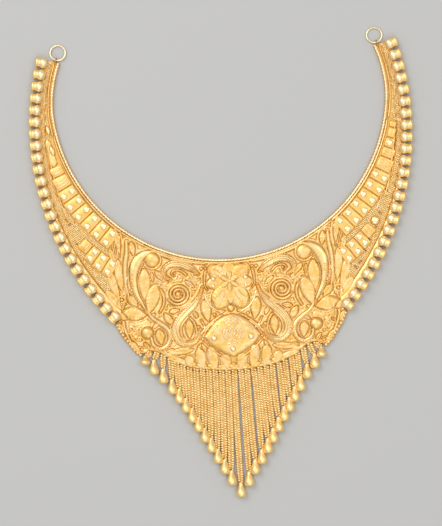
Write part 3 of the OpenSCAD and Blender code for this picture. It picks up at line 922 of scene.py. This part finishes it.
class NECKLACE_OT_bib_sheet(bpy.types.Operator):
    """Backing sheet of the bib, with an eye on the rim for each chain"""

    bl_idname = "necklace.bib_sheet"
    bl_label = "Bib sheet"

    def execute(self, context):
        sheet = in_mm(context.scene.bib_sizes).sheet
        pitch = in_mm(context.scene.fringe_sizes).pitch
        bm = plate([inset_outline(bib_outline(), SEAM_GAP / 2)], 0, sheet)
        eye = as_mesh(wire_ring(0.72, 0.5, 12, 6), "eye")
        for k in range(-STRANDS, STRANDS + 1):
            gather(bm, eye, Matrix.Translation((pitch * k, rim_y(abs(pitch * k)) - 0.1, 0.6)))
        bpy.data.meshes.remove(eye)
        finished("bib_sheet", bm, "sheet", ["bib"])
        return {"FINISHED"}


class NECKLACE_OT_scrolls(bpy.types.Operator):
    """Chased scroll bands of the bib"""

    bl_idname = "necklace.scrolls"
    bl_label = "Scroll bands"

    def execute(self, context):
        sizes = in_mm(context.scene.bib_sizes)
        bm = bmesh.new()
        for widths, ridges, notched, points in BANDS:
            height = sizes.scroll_height if ridges > 1 else sizes.leaf_height + 0.15
            notch, step = (0.2, 0.42) if notched else (0, 0.5)
            gather(bm, scroll(curve_through(points), widths, sizes.sheet, height, notch, step,
                              ridges=ridges))
        both_sides("scrolls", bm, "scroll")
        return {"FINISHED"}


def edge_lines(path, widths):
    """Lines along both edges of a band"""
    for edge in (1, -1):
        shares = [0.05 + 0.9 * k / 24 for k in range(25)]
        yield Path([path.at(path.length * u)
                    + path.side(path.length * u) * edge * (width_at(widths, u) / 2 + 0.15)
                    for u in shares])


def hatch_bars(path, gap, start, end):
    """Short lines across a band, each bent forward"""
    count = int(path.length / gap)
    for k in range(count):
        s = path.length * (k + 0.5) / count
        p, side, ahead = path.at(s), path.side(s), path.along(s, 0.3)
        yield Path([p + side * start, p + side * (start + end) / 2 + ahead * 0.3,
                    p + side * end + ahead * 0.9])


class NECKLACE_OT_threads(bpy.types.Operator):
    """Fine threads of the relief, along the wide bands and across them"""

    bl_idname = "necklace.threads"
    bl_label = "Fine threads"

    def execute(self, context):
        top = in_mm(context.scene.bib_sizes).sheet
        bm = bmesh.new()
        for width, foot, notched, points in THREADS:
            gather(bm, scroll(curve_through(points), (width, width * 0.8), top + foot, 0.5,
                              0.4 if notched else 0))
        wide_bands = [row for row in BANDS if max(row[0]) > 2]
        for widths, *_, points in wide_bands:
            for line in edge_lines(curve_through(points), widths):
                gather(bm, scroll(line, (0.5, 0.45), top + 0.25, 0.45, step=0.6))
        for gap, start, end, points in HATCHES:
            for bar in hatch_bars(curve_through(points), gap, start, end):
                gather(bm, scroll(bar, (0.55, 0.5), top + 0.62, 0.5, step=0.3, foot=0.6))
        both_sides("fine_threads", bm, "thread")
        return {"FINISHED"}


class NECKLACE_OT_leaves(bpy.types.Operator):
    """Domed and veined leaves of the bib"""

    bl_idname = "necklace.leaves"
    bl_label = "Leaves"

    def execute(self, context):
        sizes = in_mm(context.scene.bib_sizes)
        bm = bmesh.new()
        for rows, blunt in ((LEAVES + EYE_DROPS, False), (LOBES, True)):
            for row in rows:
                gather(bm, leaf(*row, sizes.sheet, sizes.leaf_height, blunt))
        both_sides("leaves", bm, "relief")
        return {"FINISHED"}


# Ground of the bib


class Cover:
    """What of the right half the ornament covers, as discs in square bins"""

    BIN = 2

    def __init__(self):
        self.bins = {}

    def bin_of(self, x, y):
        return int(x // self.BIN), int(y // self.BIN)

    def disc(self, p, radius):
        left, foot = self.bin_of(p.x - radius, p.y - radius)
        right, top = self.bin_of(p.x + radius, p.y + radius)
        for i in range(left - 2, right + 3):
            for j in range(foot - 2, top + 3):
                self.bins.setdefault((i, j), []).append((p.x, p.y, radius))

    def band(self, path, widths):
        steps = int(path.length / 0.5) + 1
        for k in range(steps + 1):
            self.disc(path.at(path.length * k / steps), width_at(widths, k / steps) / 2)

    def leaf(self, tip, base, width, bow):
        a, b = Vector(tip), Vector(base)
        side = Vector((a.y - b.y, b.x - a.x))
        for u in (k / 12 for k in range(13)):
            self.disc(a + (b - a) * u + side * bow * math.sin(math.pi * u),
                      leaf_half_width(width, u))

    def medallion(self):
        """Discs that touch the medallion's edge from inside"""
        upper, lower = medallion_edges()
        reach = MEDALLION[MEDALLION_CORNER][0]
        border = [Vector((k / 4, edge(k / 4))) for k in range(int(reach * 4) + 1)
                  for edge in (upper, lower)]
        column, row, first_row = 1.3, 1.4, -88.7
        for i in range(9):
            for j in range(14):
                p = Vector((i * column, first_row - j * row))
                if lower(p.x) < p.y < upper(p.x):
                    self.disc(p, min((p - q).length for q in border))

    def room(self, p):
        """Distance from a point to the nearest ornament"""
        near = self.bins.get(self.bin_of(p.x, p.y), ())
        return min((math.hypot(p.x - x, p.y - y) - r for x, y, r in near), default=4)


def ornament_cover():
    """The cover of all main ornament of the bib"""
    cover = Cover()
    for widths, *_, points in BANDS:
        cover.band(curve_through(points), widths)
    for row in LEAVES + EYE_DROPS + LOBES + PETALS:
        cover.leaf(*row[:4])
    for x, y, radius in STUDS:
        cover.disc(Vector((x, y)), radius)
    cover.disc(Vector(DISC), DISC_RADIUS + 0.5)
    cover.medallion()
    return cover


def border_room(p):
    """Distance from a point of the right half to the bib's borders"""
    neck_border, rim_border, flank_border = 1.05, 1.2, 1.6
    across_rim, across_flank = 0.95, 0.83
    room = p.length - neck_radius() - neck_border
    if p.x < RIM_END:
        room = min(room, (p.y - rim_y(p.x) - rim_border) * across_rim)
    if FLANK[-1][1] <= p.y < CORNER[-1][1]:
        room = min(room, (flank_x(p.y) - flank_border - p.x) * across_flank)
    return room


def on_ground(p):
    """True where a point of the right half lies on the chased ground, a little under the borders"""
    if p.x < -0.01 or p.length < neck_radius() + 0.45 or p.y < FLANK[-1][1]:
        return False
    if p.x < RIM_END and p.y < rim_y(p.x) + 0.6:
        return False
    if p.y > CORNER[-1][1]:
        return math.degrees(math.atan2(p.x, -p.y)) < seam_angle(p.length) + 20 / p.length
    return p.x < flank_x(p.y) - 0.9


def ground_end(angle, radius):
    """Radius at which the ground ends, sought outward from one that lies on it"""
    while on_ground(polar(angle, radius + 0.2)):
        radius += 0.2
    return radius


class NECKLACE_OT_ground(bpy.types.Operator):
    """Chased ground whose furrows run round every piece of ornament"""

    bl_idname = "necklace.ground"
    bl_label = "Ground"

    def execute(self, context):
        sizes = in_mm(context.scene.bib_sizes)
        cover = ornament_cover()
        low, furrow = sizes.sheet - 0.02, sizes.furrow
        start, end = sizes.neck_radius + 0.6, SEAM_TOP - 0.4
        columns, rows = 240, 172
        far = [ground_end(end * k / columns, start + 0.3) for k in range(columns + 1)]

        def place(u, v):
            p = polar(end * u, start + (far[round(u * columns)] - start) * (v + 1) / 2)
            room = min(cover.room(p), border_room(p))
            if room <= 0:
                return p.x, p.y, low
            ridge = 1 - (2 * (room / furrow % 1) - 1) ** 2
            return p.x, p.y, low + sizes.furrow_height * ridge ** 0.5

        both_sides("chased_ground", bent_grid(columns, rows, place, low - 0.3), "relief")
        return {"FINISHED"}


# Flower, medallion and round ornament


class NECKLACE_OT_flower(bpy.types.Operator):
    """Middle flower of the bib, with its blunt petals and its boss"""

    bl_idname = "necklace.flower"
    bl_label = "Flower"

    def execute(self, context):
        low = in_mm(context.scene.bib_sizes).sheet
        bm = bmesh.new()
        for tip, base, width, bow, veins, height in PETALS:
            petal = as_mesh(leaf(tip, base, width, bow, veins, low, height, True), "petal")
            for sign in signs_of(tip[0]):
                gather(bm, petal, Matrix.Diagonal((sign, 1, 1, 1)))
            bpy.data.meshes.remove(petal)
        add_dome(bm, (*FLOWER, low), 1.2, 1.35, 20)
        finished("middle_flower", bm, "relief")
        return {"FINISHED"}


class NECKLACE_OT_studs(bpy.types.Operator):
    """Small studs and bright pearls of the bib"""

    bl_idname = "necklace.studs"
    bl_label = "Studs and pearls"

    def execute(self, context):
        low = in_mm(context.scene.bib_sizes).sheet
        studs, pearls = bmesh.new(), bmesh.new()
        for x, y, radius in STUDS:
            for sign in signs_of(x):
                add_dome(studs, (sign * x, y, low + 0.15), radius, 0.35 + radius * 0.3)
        for x, y, radius, foot in PEARLS:
            for sign in signs_of(x):
                add_dome(pearls, (sign * x, y, low + foot), radius, radius * 0.75)
        finished("studs", studs, "relief")
        finished("bib_pearls", pearls, "pearl")
        return {"FINISHED"}


class NECKLACE_OT_medallion(bpy.types.Operator):
    """Lozenge medallion with the bud of nested leaves on it"""

    bl_idname = "necklace.medallion"
    bl_label = "Medallion"

    def execute(self, context):
        low = in_mm(context.scene.bib_sizes).sheet
        upper, lower = medallion_edges()
        reach = MEDALLION[MEDALLION_CORNER][0]
        finished("lozenge_medallion", pillow(reach, lower, upper, low, MEDALLION_RISE), "relief")
        bm = bmesh.new()
        for sign in (1, -1):
            for points in MEDALLION_CURLS:
                gather(bm, scroll(Path(smooth(points, 6), sign < 0), (0.95, 0.8), 0, 0.5,
                                  step=0.4))
        # The threads are laid flat and then raised onto the pillow
        for v in bm.verts:
            x, y = v.co.x, v.co.y
            across = (y - lower(x)) / (upper(x) - lower(x)) * 2 - 1
            v.co.z += low + 0.15 + MEDALLION_RISE * (1 - across * across) ** 0.5
        finished("medallion_curls", bm, "pearl")
        return {"FINISHED"}


class NECKLACE_OT_discs(bpy.types.Operator):
    """Round domed disc on each side of the bib, with its notched rim"""

    bl_idname = "necklace.discs"
    bl_label = "Side discs"

    def execute(self, context):
        low = in_mm(context.scene.bib_sizes).sheet
        rim = [Vector(DISC) + DISC_RADIUS * Vector((math.cos(a / 10), math.sin(a / 10)))
               for a in range(12, 60, 2)]
        both_sides("disc_rims", scroll(Path(rim), (1.3, 1.3), low, 0.8, 0.22, 0.36), "scroll")
        bm = bmesh.new()
        add_dome(bm, (*DISC, low), DISC_RADIUS - 0.5, 0.85, 32)
        both_sides("disc_domes", bm, "relief")
        return {"FINISHED"}


# Borders of the bib


class NECKLACE_OT_neck_border(bpy.types.Operator):
    """Bright rope along the neck edge, and the smooth band beside it on the bib"""

    bl_idname = "necklace.neck_border"
    bl_label = "Neck border"

    def execute(self, context):
        top = in_mm(context.scene.bib_sizes).sheet
        end = TIP_ANGLE - 0.3
        edge = Path(arc(-end, end, lambda t: neck_edge(abs(t)) + 0.55, 0.8))
        finished("neck_rope", rope(edge, 1.2, top + 0.4), "pearl")
        end = SEAM_TOP - 0.5
        inner = Path(arc(-end, end, lambda t: neck_edge(abs(t)) + 1.6, 1))
        finished("neck_band", scroll(inner, (1.25, 1.25), top, 0.5, step=0.9), "scroll")
        return {"FINISHED"}


class NECKLACE_OT_flank_borders(bpy.types.Operator):
    """Row of small beads with a band along each flank of the bib"""

    bl_idname = "necklace.flank_borders"
    bl_label = "Flank borders"

    def execute(self, context):
        top = in_mm(context.scene.bib_sizes).sheet
        flank = Path(smooth([(p[0] - 0.8, p[1] + 0.3) for p in CORNER[1:] + FLANK], 6))
        bm = bmesh.new()
        gather(bm, scroll(flank, (1.2, 1), top - 0.1, 0.45, step=0.6))
        count = round(flank.length / 1.5)
        for k in range(count):
            p = flank.at(flank.length * (k + 0.5) / count)
            add_dome(bm, (p.x, p.y, top), 0.82, 0.85, 14)
        both_sides("flank_borders", bm, "scroll")
        return {"FINISHED"}


class NECKLACE_OT_rim(bpy.types.Operator):
    """Notched band along the rim, with a row of petals over its middle"""

    bl_idname = "necklace.rim"
    bl_label = "Rim"

    def execute(self, context):
        top = in_mm(context.scene.bib_sizes).sheet
        half = [Vector((p.x, p.y + 0.75)) for p in smooth(RIM, 6)]
        whole = Path(mirrored(reversed(half))[:-1] + half)
        bm = bmesh.new()
        gather(bm, scroll(whole, (1.5, 1.5), top - 0.1, 0.55, 0.12, 0.8))
        petals, pitch = 13, 4.3
        for k in range(petals):
            s = whole.length / 2 + pitch * (k - (petals - 1) / 2)
            p, way = whole.at(s), whole.side(s)
            turn = Matrix.Rotation(math.atan2(way.y, way.x), 4, "Z")
            add_dome(bm, (p.x, p.y + 0.75, top), 2.3, 0.6, 24,
                     turn @ Matrix.Diagonal((0.6, 1, 1, 1)))
        finished("smooth_rim", bm, "relief")
        return {"FINISHED"}


# Arms


def slot_outline(angle, radius, along, across):
    """Corners of a pierced slot, along and across the arm's radius"""
    centre, turn = polar(angle, radius), Matrix.Rotation(math.radians(angle), 2)
    corners = ((-across, -along), (across, -along), (across, along), (-across, along))
    return [centre + turn @ (Vector(c) / 2) for c in corners]


def eyelet(sign):
    """Upright eyelet on a small boss at an arm's tip"""
    bm = bmesh.new()
    place = (Matrix.Diagonal((sign, 1, 1, 1)) @ Matrix.Translation((*TIP_EYELET, 1))
             @ Matrix.Rotation(math.radians(EYELET_TURN), 4, "Z"))
    gather(bm, wire_ring(0.75, 0.5, 20, 8), place @ Matrix.Rotation(math.pi / 2, 4, "Y"))
    gather(bm, spun(dome(0.62, 0.75), 16), place @ Matrix.Translation((0, -1.2, -0.4)))
    return bm


class NECKLACE_OT_straps(bpy.types.Operator):
    """Backing sheets of the two arms with their pierced slots and tip eyelets"""

    bl_idname = "necklace.straps"
    bl_label = "Straps"

    def execute(self, context):
        outer = arc(TIP_ANGLE, SEAM_FOOT, strap_edge)
        outline = arc(SEAM_TOP, TIP_ANGLE, neck_edge) + outer
        outline += [polar(t, r) for t, r in reversed(SEAM[1:])]
        for side, sign in SIDES.items():
            outlines = [outline] + [slot_outline(*slot) for slot in SLOTS[side]]
            if side == "left":
                outlines = [mirrored(o) for o in outlines]
            bm = plate(outlines, 0, in_mm(context.scene.bib_sizes).sheet)
            gather(bm, eyelet(sign))
            finished("strap_" + side, bm, "sheet", ["arm_" + side])
        return {"FINISHED"}


class NECKLACE_OT_tiles(bpy.types.Operator):
    """Raised tiles with their pearls and bars, and the smooth bosses"""

    bl_idname = "necklace.tiles"
    bl_label = "Tiles"

    def execute(self, context):
        low = in_mm(context.scene.bib_sizes).sheet
        tile_height, pearl_inset, bar_inset = 0.75, 1.6, 0.7
        pearl = as_mesh(spun(dome(1.32, 0.5), 18), "pearl")
        for side, sign in SIDES.items():
            tiles, pearls, bosses = bmesh.new(), bmesh.new(), bmesh.new()
            for t0, t1, r0, r1, count, bars in tiles_of(side):
                corners = arc(t0, t1, lambda t: r0) + arc(t1, t0, lambda t: r1)
                if side == "left":
                    corners = mirrored(corners)
                gather(tiles, plate([corners], low - 0.3, low + tile_height, 0.24))
                for k in range(count):
                    r = r0 + pearl_inset + k * (r1 - r0 - 2 * pearl_inset)
                    r = r if count > 1 else (r0 + r1) / 2
                    p = polar((t0 + t1) / 2, r)
                    gather(pearls, pearl, Matrix.Translation((sign * p.x, p.y, low + 0.7)))
                for k in range(bars):
                    t = t0 + (t1 - t0) * (k + 1) / (bars + 1)
                    line = Path([polar(t, r0 + bar_inset), polar(t, r1 - bar_inset)],
                                side == "left")
                    gather(pearls, scroll(line, (0.75, 0.75), low + 0.6, 0.5))
            for t, r, along, across in BOSSES[side]:
                p = polar(t, r)
                turn = Matrix.Rotation(sign * math.radians(t), 4, "Z")
                add_dome(bosses, (sign * p.x, p.y, low), 1, 1, 24,
                         turn @ Matrix.Diagonal((along / 2, across / 2, 1, 1)))
            finished("tiles_" + side, tiles, "tile")
            finished("tile_pearls_" + side, pearls, "pearl")
            finished("bosses_" + side, bosses, "pearl")
        bpy.data.meshes.remove(pearl)
        return {"FINISHED"}


def beside_any(angle, radius, rows, gap):
    """True within a gap of a slot or boss, from rows of angle, radius and two widths"""
    p = polar(angle, radius)
    return any((p - polar(t, r)).length < (along + across) / 4 + gap
               for t, r, along, across in rows)


def is_granulated(angle, radius, side):
    """True where an arm carries grains"""
    if angle < seam_angle(radius) + 0.2 or angle > TIP_ANGLE - 0.4:
        return False
    if beside_any(angle, radius, SLOTS[side], 0.5) or beside_any(angle, radius, BOSSES[side], 0.2):
        return False
    if any(t0 - 0.2 < angle < t1 + 0.2 and r0 - 0.3 < radius < r1 + 0.3
           for t0, t1, r0, r1, *_ in tiles_of(side)):
        return False
    offset = radius - strip_radius(angle)
    outer_strip = abs(offset) < 1.05
    between_rows = 76.85 < radius < 78.8 and angle < 58.5
    seam_corner = 76.8 < radius and angle < 45 and offset < 0
    tip_field = neck_edge(angle) + 2.7 < radius and angle > 77.8 and offset < 0
    slot_field = 79 < radius and 45.8 < angle < 54 and offset < 0
    return outer_strip or between_rows or seam_corner or tip_field or slot_field


def grain_spots(side, pitch):
    """Angle and radius of every grain of an arm, in staggered rows"""
    first_row, rows, row_rise, margin = 64.5, 46, pitch * 0.87, 0.4
    for k in range(rows):
        radius = first_row + k * row_rise
        step = math.degrees(pitch / radius)
        for j in range(int((TIP_ANGLE - SEAM_FOOT) / step)):
            angle = SEAM_FOOT + margin + (j + 0.5 * (k % 2)) * step
            if is_granulated(angle, radius, side):
                yield angle, radius


class NECKLACE_OT_grains(bpy.types.Operator):
    """Fields of fine grains on the arms"""

    bl_idname = "necklace.grains"
    bl_label = "Grains"

    def execute(self, context):
        sizes = in_mm(context.scene.bib_sizes)
        grain = ball("grain", 0.5, 8, 5)
        for side, sign in SIDES.items():
            rng = random.Random(SEED)
            bm = bmesh.new()
            for angle, radius in grain_spots(side, sizes.grain * 0.99):
                p = polar(angle + 0.1 * (rng.random() - 0.5), radius)
                scale = sizes.grain * (0.78 + 0.4 * rng.random())
                gather(bm, grain, Matrix.Translation((sign * p.x, p.y, sizes.sheet + 0.12))
                       @ Matrix.Rotation(rng.random() * 6, 4, "Z")
                       @ Matrix.Diagonal((scale, scale, scale * 0.85, 1)))
            finished("grains_" + side, bm, "grain")
        bpy.data.meshes.remove(grain)
        return {"FINISHED"}


class NECKLACE_OT_arm_bands(bpy.types.Operator):
    """Smooth bands between the grains and bars beside the seam"""

    bl_idname = "necklace.arm_bands"
    bl_label = "Arm bands"

    def execute(self, context):
        top = in_mm(context.scene.bib_sizes).sheet
        for side in SIDES:
            on_left = side == "left"
            bm = bmesh.new()
            for t0, t1, w0, w1, radius_at in ARM_BANDS:
                line = Path(arc(t0, t1, radius_at, 1), on_left)
                notch = 0.3 if t1 > NOTCHED_PAST else 0
                gather(bm, scroll(line, (w0, w1), top, 0.62, notch, 0.7))
            if on_left:
                t0, t1, w0, w1, radius_at = LEFT_BAND
                line = Path(arc(t0, t1, radius_at), on_left)
                gather(bm, scroll(line, (w0, w1), top, 0.5, step=0.7))
            for t0, r0, t1, r1, width in SEAM_BARS:
                line = Path([polar(t0, r0), polar(t1, r1)], on_left)
                gather(bm, scroll(line, (width, width), top, 0.7, step=0.7))
            finished("arm_bands_" + side, bm, "scroll")
        return {"FINISHED"}


def bead_place(i, radius, sign):
    """Place of an edge bead, with Z along its cap, and the way to the next bead"""
    t = bead_angle(i)
    along = polar(t + 0.5, strap_edge(t + 0.5)) - polar(t - 0.5, strap_edge(t - 0.5))
    out = Vector((along.y, -along.x)).normalized()
    foot, after = polar(t, strap_edge(t)), bead_angle(i + 1)
    p = foot - out * 0.2
    turn = Vector((sign * out.x, out.y, 0)).to_track_quat("Z", "X").to_matrix().to_4x4()
    place = Matrix.Translation((sign * p.x, p.y, radius + 0.05)) @ turn
    return place, polar(after, strap_edge(after)) - foot


class NECKLACE_OT_edge_beads(bpy.types.Operator):
    """Balls with bell caps along the outer edge of the arms"""

    bl_idname = "necklace.edge_beads"
    bl_label = "Edge beads"

    def execute(self, context):
        fringe = in_mm(context.scene.fringe_sizes)
        bead = ball("bead", fringe.ball / 2, 20, 12)
        cap = as_mesh(spun(CAP_PROFILE, 20), "cap")
        for side, sign in SIDES.items():
            balls, caps = bmesh.new(), bmesh.new()
            for i in range(context.scene.fringe_sizes.balls):
                place, gap = bead_place(i, fringe.ball / 2, sign)
                stretch = min(1.18, 0.97 * gap.length / fringe.ball)
                gather(balls, bead, place @ Matrix.Diagonal((1, stretch, 1, 1)))
                gather(caps, cap, place @ Matrix.Diagonal((1, stretch * 0.97, 1, 1)))
            finished("edge_balls_" + side, balls, "ball")
            finished("bell_caps_" + side, caps, "drop")
        bpy.data.meshes.remove(bead)
        bpy.data.meshes.remove(cap)
        return {"FINISHED"}


class NECKLACE_OT_end_rings(bpy.types.Operator):
    """Finish of the end rings"""

    bl_idname = "necklace.end_rings"
    bl_label = "End rings"

    def execute(self, context):
        for side in SIDES:
            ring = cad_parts["end_ring_" + side]
            ring.data.materials.clear()
            ring.data.materials.append(finish_of("wire"))
        return {"FINISHED"}


# Fringe


def strand_ends(side, k, fringe):
    """Top and foot of a chain as if on the right half, its drop's tip and the drop's length"""
    eye, least_chain, overlap = 0.55, 1.65, 0.5
    x = fringe.pitch * k
    top, tip = Vector((x, rim_y(x) - eye)), Vector(CHAINS[side][k])
    drop = min(fringe.drop, rim_y(x) - least_chain - tip.y)
    return top, Vector((tip.x, tip.y + drop - overlap)), tip, drop


def chain_line(top, foot, lean, on_left):
    """Line of a chain, from inside the rim to its drop, bowed outward by lean"""
    hidden_part = 0.6
    start = top.y + hidden_part
    points = []
    for i in range(13):
        u = i / 12
        bow = lean * math.sin(math.pi * u ** 0.8)
        points.append((top.x + (foot.x - top.x) * u ** 2 + bow, start + (foot.y - start) * u))
    return Path(points, on_left)


def chain(path, width, plait, loop):
    """Loops plaited in two columns over a thin low strip that the chain's finish paints deep, as
    painted shade between the loops; narrow and raised just above the drop
    """
    narrowing, narrow_part, loop_turn = 0.24, 3.5, math.radians(14)
    loop_length, loop_width, loop_height = 0.98, width * 0.55, 1.05
    bm = bmesh.new()
    # The strip lies low, so it takes the chain's deep colour: painted shade between the loops
    shaded_core = width * 0.97
    gather(bm, scroll(path, (shaded_core, shaded_core, shaded_core, shaded_core, shaded_core * 0.8), 0.6, 0.08, step=1.5, foot=0.12))
    count = max(1, round(path.length / plait))
    for i in range(count):
        for column in (1, -1):
            s = path.length * (i + 0.5 + 0.25 * column) / count
            spread = 1 + 0.1 * s / path.length
            spread -= narrowing * max(0, 1 - (path.length - s) / narrow_part)
            p = path.at(s) + path.side(s) * column * width * 0.25 * spread
            lift = 0.68 + 0.35 * (s / path.length) ** 6
            way = path.along(s, 0.4)
            turn = math.atan2(way.y, way.x) + loop_turn * column
            gather(bm, loop, Matrix.Translation((p.x, p.y, lift)) @ Matrix.Rotation(turn, 4, "Z")
                   @ Matrix.Diagonal((loop_length, loop_width * spread, loop_height, 1)))
    return bm


def pear_drop(shape, x, y, stretch, drop):
    """A drop with its round end at x, y, leaning down towards its neck"""
    tip_height, neck_height = 2.3, 0.9
    way = Vector((0, drop, neck_height - tip_height))
    bm = bmesh.new()
    gather(bm, shape, Matrix.Translation((x, y, tip_height))
           @ way.to_track_quat("Z", "X").to_matrix().to_4x4()
           @ Matrix.Diagonal((0.95, 1.03, stretch, 1)))
    return bm


class NECKLACE_OT_fringe(bpy.types.Operator):
    """Fine link chains that end in pear drops"""

    bl_idname = "necklace.fringe"
    bl_label = "Fringe"

    def execute(self, context):
        fringe = in_mm(context.scene.fringe_sizes)
        loop = ball("loop", 0.5, 8, 6)
        shape = as_mesh(spun(DROP_PROFILE, 18), "drop")
        for side, sign in SIDES.items():
            for k in range(0 if side == "right" else 1, STRANDS + 1):
                label = "centre" if k == 0 else f"{side}_{k:02d}"
                top, foot, tip, drop = strand_ends(side, k, fringe)
                pear = pear_drop(shape, sign * tip.x, tip.y, drop / fringe.drop, drop)
                finished(f"drop_{side}_{k:02d}", pear, "drop")
                lean = LEANS[side][k] if k < len(LEANS[side]) else 0
                line = chain_line(top, foot, lean, side == "left")
                links = chain(line, fringe.chain_width, fringe.plait, loop)
                finished("chain_" + label, links, "chain", ["strand_" + label])
        bpy.data.meshes.remove(loop)
        bpy.data.meshes.remove(shape)
        return {"FINISHED"}


# Stage


def area_light(name, place, look_at, size, power):
    data = bpy.data.lights.new(name, "AREA")
    data.shape, data.size, data.energy = "DISK", size, power
    light = bpy.data.objects.new(name, data)
    light.location = place
    light.rotation_euler = (Vector(look_at) - Vector(place)).to_track_quat("-Z", "Y").to_euler()
    bpy.context.scene.collection.objects.link(light)


def pale_floor():
    """A wide matt floor, a hair below the necklace"""
    bm = bmesh.new()
    bmesh.ops.create_grid(bm, x_segments=1, y_segments=1, size=3)
    mesh = as_mesh(bm, "floor")
    material = bpy.data.materials.new("pale_floor")
    material.use_nodes = True
    shader = material.node_tree.nodes["Principled BSDF"]
    shader.inputs["Base Color"].default_value = (0.5, 0.497, 0.485, 1)
    shader.inputs["Roughness"].default_value = 0.8
    mesh.materials.append(material)
    floor = bpy.data.objects.new("floor", mesh)
    floor.location.z = -0.0001
    return floor


class NECKLACE_OT_stage(bpy.types.Operator):
    """Pale floor, soft studio lights and the camera straight above"""

    bl_idname = "necklace.stage"
    bl_label = "Stage"

    def execute(self, context):
        scene = context.scene
        floor = pale_floor()
        scene.collection.objects.link(floor)

        scene.world = scene.world or bpy.data.worlds.new("studio")
        scene.world.use_nodes = True
        sky = scene.world.node_tree.nodes["Background"]
        sky.inputs["Color"].default_value = (1, 1, 1, 1)
        sky.inputs["Strength"].default_value = 0.61
        scene.view_settings.view_transform = "Standard"
        for name, place, size, power in LIGHTS:
            area_light(name, place, (-0.003, -0.068, 0), size, power)

        view_middle, view_height = (-0.00293, -0.0681), 0.2104
        data = bpy.data.cameras.new("camera")
        data.lens, data.sensor_width = 100, 36
        camera = bpy.data.objects.new("camera", data)
        camera.location = (*view_middle, view_height * data.lens / data.sensor_width)
        camera.rotation_euler = (0, 0, math.radians(-3.25))
        scene.collection.objects.link(camera)
        scene.camera = camera
        return {"FINISHED"}


PIECES = (
    NECKLACE_OT_bib_sheet, NECKLACE_OT_scrolls, NECKLACE_OT_threads, NECKLACE_OT_leaves,
    NECKLACE_OT_ground, NECKLACE_OT_flower, NECKLACE_OT_studs, NECKLACE_OT_medallion,
    NECKLACE_OT_discs, NECKLACE_OT_neck_border, NECKLACE_OT_flank_borders, NECKLACE_OT_rim,
    NECKLACE_OT_straps, NECKLACE_OT_tiles, NECKLACE_OT_grains, NECKLACE_OT_arm_bands,
    NECKLACE_OT_edge_beads, NECKLACE_OT_end_rings, NECKLACE_OT_fringe, NECKLACE_OT_stage,
)
GROUPS = {"bib_sizes": BibSizes, "fringe_sizes": FringeSizes, "gold_finish": GoldFinish}


class NECKLACE_PT_panel(bpy.types.Panel):
    """Sizes, colours and pieces of the necklace"""

    bl_idname = "NECKLACE_PT_panel"
    bl_label = "Bib Necklace"
    bl_space_type = "VIEW_3D"
    bl_region_type = "UI"
    bl_category = "Necklace"

    def draw(self, context):
        for name in GROUPS:
            group = getattr(context.scene, name)
            box = self.layout.box()
            for key in group.bl_rna.properties.keys():
                if key not in ("rna_type", "name"):
                    box.prop(group, key)
        for piece in PIECES:
            self.layout.operator(piece.bl_idname)


def register():
    for cls in (*GROUPS.values(), *PIECES, NECKLACE_PT_panel):
        bpy.utils.register_class(cls)
    for key, group in GROUPS.items():
        setattr(bpy.types.Scene, key, PointerProperty(type=group))


def unregister():
    for key in GROUPS:
        delattr(bpy.types.Scene, key)
    for cls in reversed((*GROUPS.values(), *PIECES, NECKLACE_PT_panel)):
        bpy.utils.unregister_class(cls)


def main():
    register()
    for piece in PIECES:
        group, name = piece.bl_idname.split(".")
        getattr(getattr(bpy.ops, group), name)()


if __name__ == "__main__":
    main()
